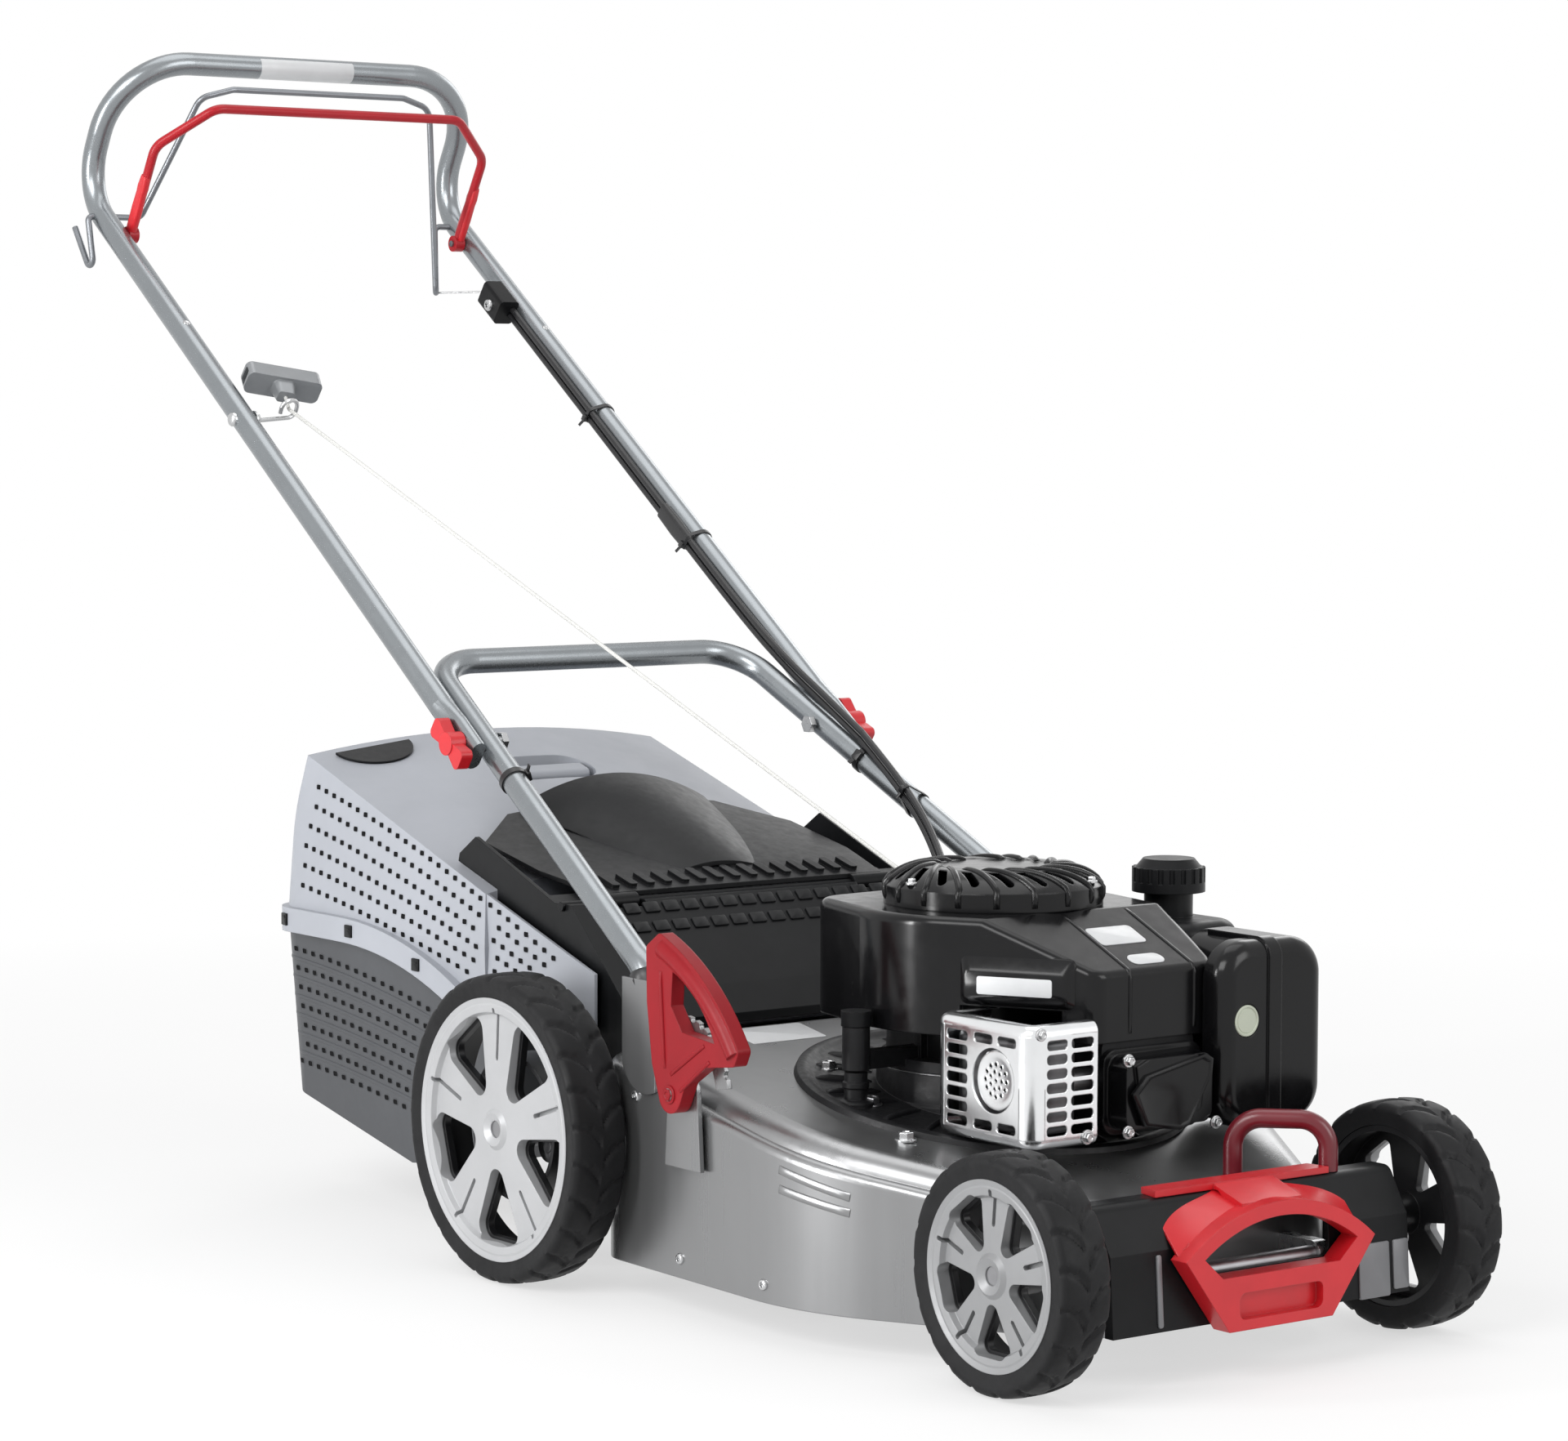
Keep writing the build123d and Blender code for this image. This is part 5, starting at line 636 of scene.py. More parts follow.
for node, rows, name, material, slot, rear_top, rear_pitch in (
        ("catcher_upper", upper_rows, "catcher_vents_upper", BAG_LIGHT, "bag_light", 352, 24),
        ("catcher_lower", lower_rows, "catcher_vents_lower", BAG_DARK, "bag_dark", 214, 26)):
    bm = bmesh.new()
    for side in (-1, 1):
        for start, end, crown in rows:
            for x, z in row_points(start, end, crown, VENT_PITCH):
                spot = flat_here(node, x, z, side)
                if spot:
                    add_hole(bm, *spot)
    for i in range(4):
        for k in range(19):
            spot = surface(node, (-600, -126 + VENT_PITCH * k, rear_top - rear_pitch * i), (1, 0, 0))
            if spot:
                add_hole(bm, *spot)
    # The second material is the painted shade on the floors of the holes
    piece(name, bm, [material, HOLE_SHADE], "catcher")

bm = bmesh.new()
for side in (-1, 1):
    for (start, end, crown), (start2, end2, crown2) in zip(lower_rows, lower_rows[1:]):
        a = ((start[0] + start2[0]) / 2 - 6, (start[1] + start2[1]) / 2)
        b = ((end[0] + end2[0]) / 2 + 8, (end[1] + end2[1]) / 2)
        spots = [from_side("catcher_lower", x, z, side) for x, z in row_points(a, b, (crown + crown2) / 2, 6.0)]
        add_bead(bm, [s for s in spots if s], 3.4, 0.9)
piece("catcher_ribs", bm, [BAG_DARK], "catcher")

bm = bmesh.new()
for side in (-1, 1):
    for x, z in ((-374, 249), (-262, 249), (-150, 231)):
        spot = from_side("catcher_upper", x, z, side)
        if spot:
            add_plate(bm, *spot, (0, 0, 1), 11.5, 11.0, 1.6, 1.0)
            lip = spot[0] + spot[1] * 1.4 + Vector((0, 0, 2.6))
            add_plate(bm, lip, spot[1], (0, 0, 1), 7.5, 2.6, 0.9, 0.8)
piece("catcher_clips", bm, [BLACK], "catcher")


# Handle: bare label round the bar, cable sleeve and ties, screws, bolt of the rope guide, rivets
def upper_tube(along, side):
    return Vector((FOLD.x, side * UPPER_Y, FOLD.z)) + UPPER_DIR * along


bm = bmesh.new()
BAR = Vector((-683.5, 0.0, 1037.2))
LABEL_R, LABEL_FOOT_R, LABEL_TILT = 11.25, 10.7, -25
rings = []
for y, inset in ((-50, 0.15), (-49.2, 0.0), (52.2, 0.0), (53, 0.15)):
    ring = []
    for radius, turns in ((LABEL_R - inset, range(-70, 71, 10)), (LABEL_FOOT_R, range(70, -71, -10))):
        for turn in turns:
            a = math.radians(turn + LABEL_TILT)
            ring.append(BAR + Vector((math.cos(a) * radius, y, math.sin(a) * radius)))
    rings.append(ring)
add_rings(bm, rings)
piece("bar_label", bm, [LABEL], "upper_handle")

bm = bmesh.new()
sleeve_mid = Vector((0, CABLE_Y - 0.4, 0)) - Vector((0, UPPER_Y, 0))
cable_rounds = [(0, 0, TUBE_R), (CABLE_PITCH / 2, UPPER_Y - CABLE_Y, CABLE_R),
                (-CABLE_PITCH / 2, UPPER_Y - CABLE_Y, CABLE_R)]
rings = []
for along, grow in ((266, -1.6), (268, 0), (290, 0.5), (318, 0), (320, -1.6)):
    centre = upper_tube(along, 1) + sleeve_mid
    flat = outline(8.4 + 2 * grow, 17.0 + 2 * grow, 4.0)
    rings.append([centre + Vector((0, 1, 0)) * x + UPPER_UP * y for x, y in flat])
add_rings(bm, rings)
for along in (270, 470):
    add_tie(bm, upper_tube(along, 1), UPPER_DIR, (0, -1, 0), cable_rounds)
piece("cable_ties_upper", bm, [CABLE], "upper_handle")

GUIDE_AT = 463.5         # bolt of the rope guide, along the upper tube
bm = bmesh.new()
add_screw(bm, beside_upper(656, -2) + Vector((0, 167.8 - CABLE_Y, 0)), (0, -1, 0), 6.0, 3.4)
add_lathe(bm, upper_tube(GUIDE_AT, -1) - Vector((0, TUBE_R, 0)), (0, -1, 0),
          [(6.5, -1.5), (6.5, 0.8), (5.6, 2.2), (3.6, 3.2), (0.05, 3.6)])
add_hex(bm, upper_tube(GUIDE_AT, -1) + Vector((0, TUBE_R, 0)), (0, 1, 0), 5.4, 5.0)
for side in (-1, 1):
    add_lathe(bm, upper_tube(600, side) + UPPER_UP * 10.6, UPPER_UP,
              [(3.4, -0.6), (3.4, 0.5), (2.6, 1.1), (1.6, 0.9), (0.05, 0.7)], 18)
piece("handle_screws", bm, [ZINC], "upper_handle")

LEG_FROM, LEG_TO = Vector((225.4, 219.0, 264.0)), Vector((-185.6, 165.0, 490.0))


def leg(share, side):
    point = LEG_FROM.lerp(LEG_TO, share)
    return Vector((point.x, side * point.y, point.z))


bm = bmesh.new()
for side in (-1, 1):
    direction = leg(1, side) - leg(0, side)
    add_tie(bm, leg(0.60, side), direction, (0, -side, 0.6), [(0, 0, TUBE_R)], 6.0, 1.4)
    bend = Vector((222.6, side * 219.0, 260.0))
    add_lathe(bm, bend, (-0.43, -side * 0.04, 0.90),
              [(11.2, -6), (13.4, -5), (13.8, 0), (13.4, 6), (12.4, 7.5), (11.2, 7.6)])
for share in (0.44, 0.30):
    side_dir = (leg(1, 1) - leg(0, 1)).normalized()
    right, rise, out = basis(side_dir, (0, -1, 0))
    here = leg(share, 1)
    line = nurbs_line(lower_route)
    rounds = [(0, 0, TUBE_R)]
    for shift in (Vector(), second):
        near = min((p + shift for p in line), key=lambda p: abs((p - here).dot(out)))
        rounds.append(((near - here).dot(right), (near - here).dot(rise), CABLE_R))
    if max(abs(r[0]) + abs(r[1]) for r in rounds) < 60:
        add_tie(bm, here, out, (0, -1, 0), rounds)
piece("leg_ties", bm, [CABLE], "deck")


# Red ends of the drive bail, moulded over the rod
bm = bmesh.new()
for side in (-1, 1):
    foot = Vector((-691.6, side * 184.0, 872.84))
    run = Vector((49.0, 0, 82.0)).normalized()
    across = Vector((run.z, 0, -run.x))
    rings = []
    for along, wide, thick in ((4, 9, 6.6), (6, 12, 7.4), (30, 12.5, 7.6), (46, 11.0, 7.6), (52, 12.5, 7.6),
                               (62, 9.5, 7.6), (64, 8.2, 7.4)):
        flat = outline(thick, wide, 2.4)
        rings.append([foot + run * along + Vector((0, 1, 0)) * x + across * y for x, y in flat])
    add_rings(bm, rings)
piece("bail_ends", bm, [RED], "drive_bail")


# Deck: side screws, pressed beads, bare label plate
bm = bmesh.new()
for side in (-1, 1):
    for x, z in ((285, 45.5), (221, 167), (400, 44)):
        spot = from_side("deck_housing", x, z, side)
        if spot:
            add_screw(bm, *spot, 4.6, 2.4)
for x, y in ((300, -96), (300, 96), (480, 118), (470, -150)):
    spot = surface("deck_housing", (x, y, 215), (0, 0, -1))
    if spot and spot[0].z > 120:
        add_hex(bm, spot[0], (0, 0, 1), 6.2, 6.5)
piece("deck_fasteners", bm, [ZINC], "deck")

bm = bmesh.new()
for side in (-1, 1):
    for z_from, z_to in ((136, 122), (121, 110)):
        spots = []
        for k in range(25):
            t = k / 24
            spot = from_side("deck_housing", 418 + 66 * t, z_from + (z_to - z_from) * t, side)
            if spot:
                spots.append(spot)
        add_bead(bm, spots, 7.0, 1.8)
piece("deck_beads", bm, [SILVER], "deck")

bm = bmesh.new()
spot = surface("deck_housing", (206, -78, 260), (0, 0, -1))
if spot:
    add_plate(bm, *spot, (1, 0, 0), 74, 40, 0.5, 3, 0.2)
piece("deck_label", bm, [LABEL], "deck")


# Engine: bare plates and the brow under one of them, beads of the cowl
def plate_on(bm, node, place, normal, up, w, h, t, r, edge=0.25):
    out = Vector(normal).normalized()
    spot = surface(node, Vector(place) + out * 40, -out)
    if spot:
        add_plate(bm, *spot, up, w, h, t, r, edge)


bm = bmesh.new()
COWL_SIDE = Vector((0.49, -0.87, 0)).normalized()
brow = surface("blower_housing", Vector((506, -70, 274)) + COWL_SIDE * 40, -COWL_SIDE)[0]
BROW_HEIGHT = 7.0
add_plate(bm, brow + COWL_SIDE * BROW_HEIGHT, COWL_SIDE, (0, 0, 1), 62, 14, 0.6, 2, 0.25)
plate_on(bm, "blower_housing", (514, 22, 306), (0.4, 0, 0.91), (1, 0, 0), 46, 26, 0.6, 4)
plate_on(bm, "blower_housing", (548, 24, 292), (0.4, 0, 0.91), (1, 0, 0), 34, 14, 0.6, 6.5)
piece("engine_labels", bm, [LABEL], "deck")

bm = bmesh.new()
rings = []
for wide, tall, height, lift in ((96, 40, -1, 3), (92, 34, 2, 2), (86, 25, 6, 0), (83, 22, BROW_HEIGHT, 0)):
    flat = [(x, y + lift) for x, y in outline(wide, tall, 6)]
    rings.append(ring_at(brow, basis(COWL_SIDE, (0, 0, 1)), flat, height))
add_rings(bm, rings)
piece("cowl_brow", bm, [ENGINE], "deck")

bm = bmesh.new()
for y in (-4.0, 62.0):
    spots = []
    for k in range(19):
        spots.append(surface("blower_housing", (480 + 80 * k / 18, y, 400), (0, 0, -1)))
    for k in range(9):
        spots.append(surface("blower_housing", (700, y, 282 - 44 * k / 8), (-1, 0, 0)))
    add_bead(bm, [s for s in spots if s], 3.6, 1.2)
piece("cowl_beads", bm, [ENGINE], "deck")

# Swept louvres between the slots of the recoil cover, over its edge and down its side
RECOIL_FINS, FIN_RADIUS, FIN_SWEEP, DOME_R = 18, 61.0, math.radians(40), 87.0
CRANK = Vector((CRANK_X, 0, 0))
bm = bmesh.new()
for k in range(RECOIL_FINS):
    base = 2 * math.pi * (k + 0.5) / RECOIL_FINS
    mid = Vector((CRANK_X + FIN_RADIUS * math.cos(base), FIN_RADIUS * math.sin(base), 0))
    along = Vector((math.cos(base + FIN_SWEEP), math.sin(base + FIN_SWEEP), 0))
    spots = []
    for step in range(22):
        flat = mid + along * (-24 + 58 * step / 21)
        if (flat - CRANK).length < DOME_R:
            spots.append(surface("recoil_cover", flat + Vector((0, 0, 400)), (0, 0, -1)))
            last = flat
    edge = (last - CRANK).normalized()
    for step in range(5):
        spots.append(surface("recoil_cover", Vector((CRANK_X, 0, 338 - 2.6 * step)) + edge * 160, -edge))
    spots = [s for s in spots if s]
    if min((s[0] - ROPE_ENTRY).length for s in spots) > 14:
        add_bead(bm, spots, 5.2, 2.4)
piece("recoil_louvres", bm, [ENGINE], "deck")

# Filter badge, muffler dish with perforations whose floors are painted shade, rocker shield, bolts
bm = bmesh.new()
BADGE_AT = Vector((586.9, 94.0, 242.5))
add_lathe(bm, BADGE_AT, (1, 0, 0), [(12.4, -0.3), (12.4, 1.4), (11.8, 1.9), (10.6, 1.9), (10.0, 1.2),
                                    (9.8, 1.2), (9.4, 1.5), (0.05, 1.7)], 40)
piece("filter_badge", bm, [BADGE], "deck")

bm = bmesh.new()
DISH = Vector((540.6, -118.0, 209.4))
add_lathe(bm, DISH, (0, -1, 0),
          [(23.5, -3), (23.5, 0.2), (22.4, 1.2), (19.0, 1.4), (17.0, 0.8), (0.05, 0.8)], 48)
# Perforations: shallow rings with floors painted dark as the shade of open holes
for count, reach, size in ((12, 12.4, 1.7), (7, 6.8, 1.5), (1, 0.0, 1.5)):
    for x, z in circle(reach, count):
        add_lathe(bm, DISH + Vector((x, -0.8, z)), (0, -1, 0),
                  [(size + 0.5, -0.2), (size + 0.3, 0.3), (size, 0.3), (size, 0.1)], 12, 1)
piece("muffler_dish", bm, [GUARD, HOLE_SHADE], "deck")

bm = bmesh.new()
SHIELD = [(-24, 196), (-10, 209), (50, 221), (58, 217), (57, 206), (34, 167), (24, 164), (-12, 170)]
middle = (sum(p[0] for p in SHIELD) / len(SHIELD), sum(p[1] for p in SHIELD) / len(SHIELD))
rings = []
for share, x in ((1.0, 587.0), (1.0, 590.0), (0.97, 590.8), (0.9, 590.8), (0.87, 590.0), (0.05, 590.0)):
    rings.append([Vector((x, middle[0] + (y - middle[0]) * share, middle[1] + (z - middle[1]) * share))
                  for y, z in SHIELD])
add_rings(bm, rings)
piece("rocker_shield", bm, [ENGINE], "deck")

bm = bmesh.new()
for y, z in ((-27, 222), (-27, 167), (63, 166)):
    add_hex(bm, Vector((587.4, y, z)), (1, 0, 0), 3.6, 4.6)
add_hex(bm, Vector((585.2, -66, 167)), (1, 0, 0), 4.0, 4.6)
add_hex(bm, Vector((585.2, -112, 249)), (1, 0, 0), 3.4, 3.6)
for k in range(3):
    turn = math.radians(30 + 120 * k)
    spot = surface("recoil_cover", (CRANK_X + 83 * math.cos(turn), 83 * math.sin(turn), 420), (0, 0, -1))
    if spot:
        add_hex(bm, spot[0], (0, 0, 1), 3.4, 4.0)
piece("engine_bolts", bm, [ZINC], "deck")


# Engine base: dark tray on the deck with a raised rim and ribs, skirt round the seat, oil filler tube
DECK_OUT = Vector((0.1693, 0.0, 0.9856))
PAN, PAN_T = Vector((CRANK_X, 0.0, 170.9)), 1.4
bm = bmesh.new()
right, rise, out = basis(DECK_OUT, (0, 1, 0))
profile = ((60, -0.6), (60, PAN_T), (143, PAN_T), (147, 3.0), (150, 5.2), (154, 5.8), (158, 4.6), (160, -0.6))
add_rings(bm, [ring_at(PAN, (right, rise, out), circle(radius, 96), height) for radius, height in profile],
          closed=True)
for k in range(24):
    turn = math.pi * k / 12
    ray = right * math.cos(turn) + rise * math.sin(turn)
    add_bead(bm, [(PAN + ray * r + out * PAN_T, out) for r in (98, 104, 112, 122, 132, 139, 143)], 5.0, 3.4)
add_lathe(bm, Vector((CRANK_X, 0, 158.0)), (0, 0, 1),
          [(94.5, 0), (94.5, 12), (93.0, 14), (93.0, 36), (92.2, 37.4)], 72)
add_lathe(bm, Vector((384.4, -133.0, 168.0)), (0, 0, 1),
          [(15, 0), (15, 6), (13.5, 7.5), (9.2, 8.5), (9.2, 17), (10.6, 18), (10.6, 22), (9.2, 23), (9.2, 30)],
          28)
piece("engine_pan", bm, [ALLOY], "deck")

bm = bmesh.new()
for k in range(6):
    turn = math.pi * (k + 0.5) / 3
    spot = PAN + right * 122 * math.cos(turn) + rise * 122 * math.sin(turn) + out * PAN_T
    add_hex(bm, spot, out, 6.0, 6.0)
piece("pan_bolts", bm, [STEEL], "deck")


# Muffler guard: one bright sheet bent round two corners, with slots, a round opening and rolled edges
GUARD_LOW, GUARD_HIGH, GUARD_R, GUARD_T, ROLL = 160.2, 254.8, 14.0, 1.6, 8.0
# Straight runs from point to point, and bends about a centre from angle to angle
guard_runs = [((467.4, -66.0), (467.4, -108.0), None), ((481.4, -108.0), 180, 270),
              ((481.4, -122.0), (571.4, -122.0), None), ((571.4, -108.0), 270, 360),
              ((585.4, -108.0), (585.4, -56.0), None)]


def guard_path(u):
    """Point and outward direction in plan, at a length along the bent sheet."""
    for a, b, c in guard_runs:
        if c is None:
            run = math.dist(a, b)
            if u <= run or (a, b, c) == guard_runs[-1]:
                dx, dy = (b[0] - a[0]) / run, (b[1] - a[1]) / run
                return Vector((a[0] + dx * u, a[1] + dy * u, 0)), Vector((dy, -dx, 0))
        else:
            run = GUARD_R * math.pi / 2
            if u <= run:
                turn = math.radians(b + (c - b) * u / run)
                way = Vector((math.cos(turn), math.sin(turn), 0))
                return Vector((*a, 0)) + way * GUARD_R, way
        u -= run
    return None


def guard_point(u, v, depth):
    """Sheet point: v runs up the sheet, with edges rolled in at its foot and its top."""
    high = GUARD_HIGH - GUARD_LOW
    point, way = guard_path(u)
    inset, z = 0.0, v
    for reach, base, way_up in ((v - high + ROLL, high - ROLL, 1), (ROLL - v, ROLL, -1)):
        if reach > 0:
            a = min(math.pi / 2, reach / ROLL)
            over = max(0.0, reach - ROLL * math.pi / 2)
            inset = (ROLL - depth) * (1 - math.cos(a)) + over
            z = base + way_up * (ROLL - depth) * math.sin(a)
    return point - way * (inset + depth) + Vector((0, 0, GUARD_LOW + z))


def guard_grid(bm, us, vs):
    """Plain stretch of sheet, both faces and its edges."""
    front = [[bm.verts.new(guard_point(u, v, 0)) for u in us] for v in vs]
    rear = [[bm.verts.new(guard_point(u, v, GUARD_T)) for u in us] for v in vs]
    for i in range(len(vs) - 1):
        for j in range(len(us) - 1):
            bm.faces.new((front[i][j], front[i][j + 1], front[i + 1][j + 1], front[i + 1][j]))
            bm.faces.new((rear[i][j], rear[i + 1][j], rear[i + 1][j + 1], rear[i][j + 1]))
    wide, tall = len(us) - 1, len(vs) - 1
    rim = [(0, j) for j in range(wide + 1)] + [(i, wide) for i in range(1, tall + 1)]
    rim += [(tall, j) for j in range(wide - 1, -1, -1)] + [(i, 0) for i in range(tall - 1, 0, -1)]
    for (i, j), (k, m) in zip(rim, rim[1:] + rim[:1]):
        bm.faces.new((front[i][j], rear[i][j], rear[k][m], front[k][m]))


def guard_face(bm, u0, u1, v0, v1, holes):
    """Flat stretch of sheet with openings, given as closed lines of points."""
    loops = [[(u0, v0), (u1, v0), (u1, v1), (u0, v1)]] + holes
    flat = [point for loop in loops for point in loop]
    tris = tessellate_polygon([[Vector((u, v, 0)) for u, v in loop] for loop in loops])
    front = [bm.verts.new(guard_point(u, v, 0)) for u, v in flat]
    rear = [bm.verts.new(guard_point(u, v, GUARD_T)) for u, v in flat]
    for a, b, c in tris:
        bm.faces.new((front[a], front[b], front[c]))
        bm.faces.new((rear[c], rear[b], rear[a]))
    first = 0
    for loop in loops:
        for i in range(len(loop)):
            a, b = first + i, first + (i + 1) % len(loop)
            bm.faces.new((front[a], front[b], rear[b], rear[a]))
        first += len(loop)


def guard_slot(u0, u1, v0, v1, r=3.0):
    return [((u0 + u1) / 2 + x, (v0 + v1) / 2 + y) for x, y in outline(u1 - u0, v1 - v0, r)]


arc, BACK_RUN, FACE_RUN, NOSE_RUN = GUARD_R * math.pi / 2, 42.0, 90.0, 52.0
FACE_FROM = BACK_RUN + arc
FACE_TO = FACE_FROM + FACE_RUN
NOSE_FROM = FACE_TO + arc
NOSE_TO = NOSE_FROM + NOSE_RUN
LOW_V, HIGH_V = ROLL, GUARD_HIGH - GUARD_LOW - ROLL
dish_u, dish_v, OPENING_R = FACE_FROM + 59.2, DISH.z - GUARD_LOW, 25
face_holes = [[(dish_u + x, dish_v + y) for x, y in circle(OPENING_R, 48)]]
nose_holes = []
SLOT_H, SLOT_PITCH, SLOT_INSET = 7.6, 10.9, 2.4
for k in range(7):
    v = LOW_V + SLOT_INSET + SLOT_PITCH * k
    face_holes.append(guard_slot(FACE_FROM + 3, FACE_FROM + 28, v, v + SLOT_H))
    nose_holes.append(guard_slot(NOSE_FROM + 2, NOSE_FROM + 22, v, v + SLOT_H))
    nose_holes.append(guard_slot(NOSE_FROM + 26, NOSE_FROM + 48, v, v + SLOT_H))
for u in (FACE_FROM + 36, FACE_FROM + 64):
    face_holes.append(guard_slot(u, u + 22, LOW_V + SLOT_INSET, LOW_V + 10.0))
    face_holes.append(guard_slot(u, u + 22, HIGH_V - 10.0, HIGH_V - SLOT_INSET))
bm = bmesh.new()
guard_face(bm, FACE_FROM, FACE_TO, LOW_V, HIGH_V, face_holes)
guard_face(bm, NOSE_FROM, NOSE_TO, LOW_V, HIGH_V, nose_holes)
bends = [0.0, 14.0, 28.0] + [BACK_RUN + arc * k / 8 for k in range(8)]
levels = [LOW_V, (LOW_V + HIGH_V) / 2, HIGH_V]
guard_grid(bm, bends + [FACE_FROM], levels)
guard_grid(bm, [FACE_TO + arc * k / 8 for k in range(9)], levels)
round_all = bends + [FACE_FROM + 10 * k for k in range(9)] + [FACE_TO + arc * k / 8 for k in range(8)]
round_all += [NOSE_FROM + 6.5 * k for k in range(9)]
rolled = [ROLL * math.pi / 2 * k / 6 for k in range(7)]
guard_grid(bm, round_all, [HIGH_V + v for v in rolled] + [HIGH_V + rolled[-1] + 4])
guard_grid(bm, round_all, [ROLL - v for v in rolled])
cage = piece("guard_cage", bm, [GUARD], "deck")
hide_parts("muffler_guard")


# Carry grip: red fairing from the arch of the grip back over the cover
bm = bmesh.new()
ARCH_R, ARCH_TOP, FAIRING_T = 143.3, 130.6, 2.6
FAIRING_ROWS, FAIRING_COLUMNS = 14, 80
skin = [(k / FAIRING_ROWS, 0.0) for k in range(FAIRING_ROWS + 1)]
rings = []
for share, drop in skin + [(share, FAIRING_T) for share, _ in reversed(skin)]:
    ring = []
    for k in range(FAIRING_COLUMNS + 1):
        t = -1 + 2 * k / FAIRING_COLUMNS
        y = 92.0 * t
        front_z = ARCH_TOP - ARCH_R + math.sqrt(ARCH_R ** 2 - y * y)
        rear_z = 141.0 - 6.0 * abs(t) ** 3
        x = 722.0 - (46.0 - 10.0 * t * t) * share
        ring.append(Vector((x, y, front_z + (rear_z - front_z) * share - drop)))
    rings.append(ring)
made = [[bm.verts.new(point) for point in ring] for ring in rings]
for a, b in zip(made, made[1:] + made[:1]):
    for i in range(FAIRING_COLUMNS):
        bm.faces.new((a[i], a[i + 1], b[i + 1], b[i]))
for i in (0, FAIRING_COLUMNS):
    bm.faces.new([ring[i] for ring in made])
piece("grip_fairing", bm, [RED], "deck")


# Hood: two rows of moulded cells in front of the flap
bm = bmesh.new()
for row in range(2):
    for k in range(16):
        y = -150 + 20 * k
        spot = surface("rear_hood", (70 + 15 * row + 60, y, 298 - 14 * row + 60), (-0.69, 0, -0.73))
        if spot and spot[1].x > 0.3:
            add_plate(bm, *spot, (0, 1, 0), 11, 15, 1.6, 1.5, 0.5)
piece("hood_cells", bm, [BLACK], "deck")


# Front: grey strip and skirt plates on the cover, screw in the carry grip
bm = bmesh.new()
for y, w, z, h in ((-104, 5, 74, 54), (113, 32, 64, 42), (141, 16, 66, 38)):
    spot = surface("front_cover", (900, y, z), (-1, 0, 0))
    if spot:
        add_plate(bm, *spot, (0, 0, 1), w, h, 1.4, 2, 0.5)
piece("front_skirts", bm, [SKIRT], "deck")

bm = bmesh.new()
# The recess of each screw has a floor painted dark as shade
for y in (-84, 84):
    spot = surface("carry_grip", (716, y, 240), (0, 0, -1))
    if spot:
        add_lathe(bm, *spot, [(5.2, -0.3), (4.8, 0.5), (3.6, 0.5), (3.4, 0.1)], 20, 1)
piece("grip_screws", bm, [RED, HOLE_SHADE], "deck")


# Height lever: ribs on the web and the pivot bolt
WEB_Y = -250.8           # outer face of the lever's web
bm = bmesh.new()
for a, b in (((300, 196), (345, 224)), ((292, 200), (286, 276)), ((312, 184), (352, 212))):
    spots = []
    for k in range(21):
        t = k / 20
        spot = from_side("height_lever", a[0] + (b[0] - a[0]) * t, a[1] + (b[1] - a[1]) * t, -1)
        if spot and abs(spot[0].y - WEB_Y) < 0.4:
            spots.append(spot)
    add_bead(bm, spots, 3.4, 1.6)
piece("lever_ribs", bm, [LEVER_RED], "height_lever")
bm = bmesh.new()
add_hex(bm, Vector((298.4, WEB_Y, 180.0)), (0, -1, 0), 5.2, 3.2)
piece("lever_bolt", bm, [LEVER_RED], "height_lever")


# Floor, light and camera
def seen_rays(tree):
    """One for rays from the camera, from gloss and through glass, which show the white background."""
    rays = add_node(tree, "LightPath")
    total = rays.outputs["Is Camera Ray"]
    for kind in ("Is Glossy Ray", "Is Transmission Ray"):
        add = add_node(tree, "Math")
        add.operation = "ADD"
        add.use_clamp = True
        link(tree, total, add.inputs[0])
        link(tree, rays.outputs[kind], add.inputs[1])
        total = add.outputs["Value"]
    return total


floor_mesh = bpy.data.meshes.new("floor")
floor_mesh.from_pydata([(-30, -30, 0), (30, -30, 0), (30, 30, 0), (-30, 30, 0)], [], [(0, 1, 2, 3)])
floor = show("floor", floor_mesh)
floor_mat, tree, bsdf = nodes_of("floor_pale")
bsdf.inputs["Base Color"].default_value = (0.86, 0.86, 0.86, 1)
bsdf.inputs["Roughness"].default_value = 0.75
glow = add_node(tree, "Emission", Color=(1, 1, 1, 1), Strength=1.0)
length = add_node(tree, "VectorMath")
length.operation = "LENGTH"
link(tree, add_node(tree, "TexCoord").outputs["Object"], length.inputs[0])
# The floor keeps its shadow near the part and turns white away from it
far = spread(tree, length.outputs["Value"], 0.62, 1.0, 0.7, 2.2)
seen = add_node(tree, "Math")
seen.operation = "MULTIPLY"
link(tree, seen_rays(tree), seen.inputs[0])
link(tree, far, seen.inputs[1])
blend = add_node(tree, "MixShader")
link(tree, seen.outputs["Value"], blend.inputs["Fac"])
link(tree, bsdf.outputs["BSDF"], blend.inputs[1])
link(tree, glow.outputs["Emission"], blend.inputs[2])
link(tree, blend.outputs["Shader"], tree.nodes["Material Output"].inputs["Surface"])
floor_mesh.materials.append(floor_mat)

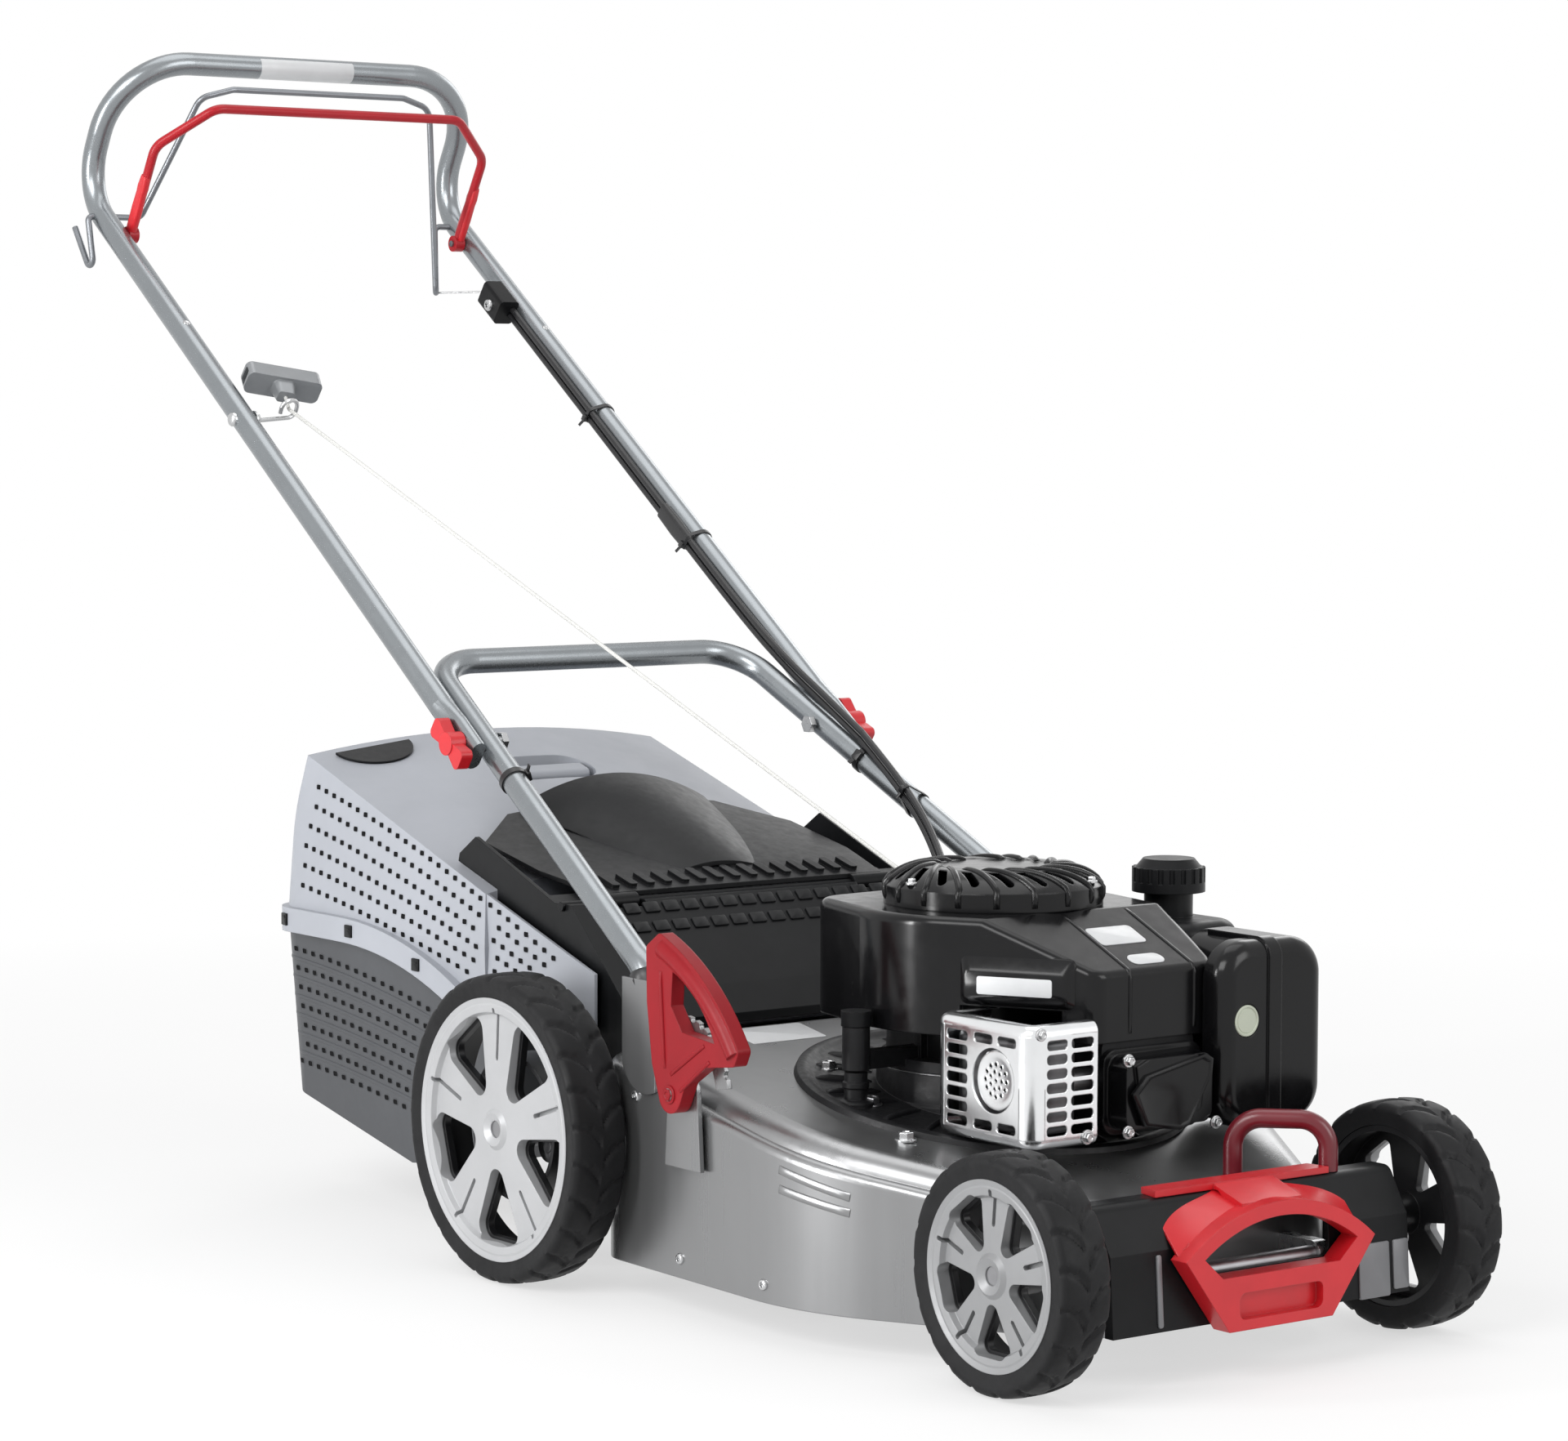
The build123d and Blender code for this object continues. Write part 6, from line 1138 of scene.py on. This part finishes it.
world = bpy.data.worlds.new("studio")
bpy.context.scene.world = world
world.use_nodes = True
tree = world.node_tree
soft = tree.nodes["Background"]
soft.inputs["Color"].default_value = (1, 1, 1, 1)
soft.inputs["Strength"].default_value = 0.38
white = add_node(tree, "Background", Color=(1, 1, 1, 1), Strength=1.0)
mix = add_node(tree, "MixShader")
link(tree, seen_rays(tree), mix.inputs["Fac"])
link(tree, soft.outputs["Background"], mix.inputs[1])
link(tree, white.outputs["Background"], mix.inputs[2])
link(tree, mix.outputs["Shader"], tree.nodes["World Output"].inputs["Surface"])


def lamp(name, place, target, size, power):
    data = bpy.data.lights.new(name, "AREA")
    data.shape = "RECTANGLE"
    data.size, data.size_y = size
    data.energy = power
    obj = show(name, data)
    obj.location = place
    obj.rotation_mode = "QUATERNION"
    obj.rotation_quaternion = (Vector(target) - Vector(place)).to_track_quat("-Z", "Y")


lamp("key", (1.2, -3.0, 2.6), (0.1, 0, 0.35), (2.4, 1.6), 82)
lamp("front_fill", (3.4, 1.2, 1.8), (0.2, 0, 0.3), (1.6, 2.0), 40)
lamp("top", (-0.2, 0.3, 3.4), (0, 0, 0.2), (2.6, 2.0), 26)
lamp("back", (-1.6, 3.4, 2.2), (0, 0, 0.4), (2.0, 1.6), 22)
lamp("side_strip", (-0.45, -3.1, 0.7), (0.4, -0.2, 0.15), (0.25, 1.6), 55)

# Camera at the photograph's viewing angle; focal length and centre are in pixels of its frame
IMAGE_W, IMAGE_H, FOCAL, CENTRE_U, CENTRE_V, SENSOR = 1920, 1764, 5460.7, 1124.9, 877.4, 36.0
camera_data = bpy.data.cameras.new("camera")
camera_data.sensor_width = SENSOR
camera_data.lens = SENSOR * FOCAL / IMAGE_W
camera_data.shift_x = (IMAGE_W / 2 - CENTRE_U) / IMAGE_W
camera_data.shift_y = -(IMAGE_H / 2 - CENTRE_V) / IMAGE_W
camera_data.clip_start, camera_data.clip_end = 0.05, 100
camera = show("camera", camera_data)
yaw, pitch, roll = math.radians(51.7), math.radians(4.3), math.radians(0.3)
back = Vector((math.sin(yaw) * math.cos(pitch), -math.cos(yaw) * math.cos(pitch), math.sin(pitch)))
right = Vector((math.cos(yaw), math.sin(yaw), 0))
up = back.cross(right)
axis_x = math.cos(roll) * right + math.sin(roll) * up
axis_y = -math.sin(roll) * right + math.cos(roll) * up
camera.matrix_world = Matrix((
    (axis_x.x, axis_y.x, back.x, 3.1320), (axis_x.y, axis_y.y, back.y, -2.2421),
    (axis_x.z, axis_y.z, back.z, 0.7375), (0, 0, 0, 1)))
bpy.context.scene.camera = camera
bpy.context.scene.view_settings.view_transform = "Standard"
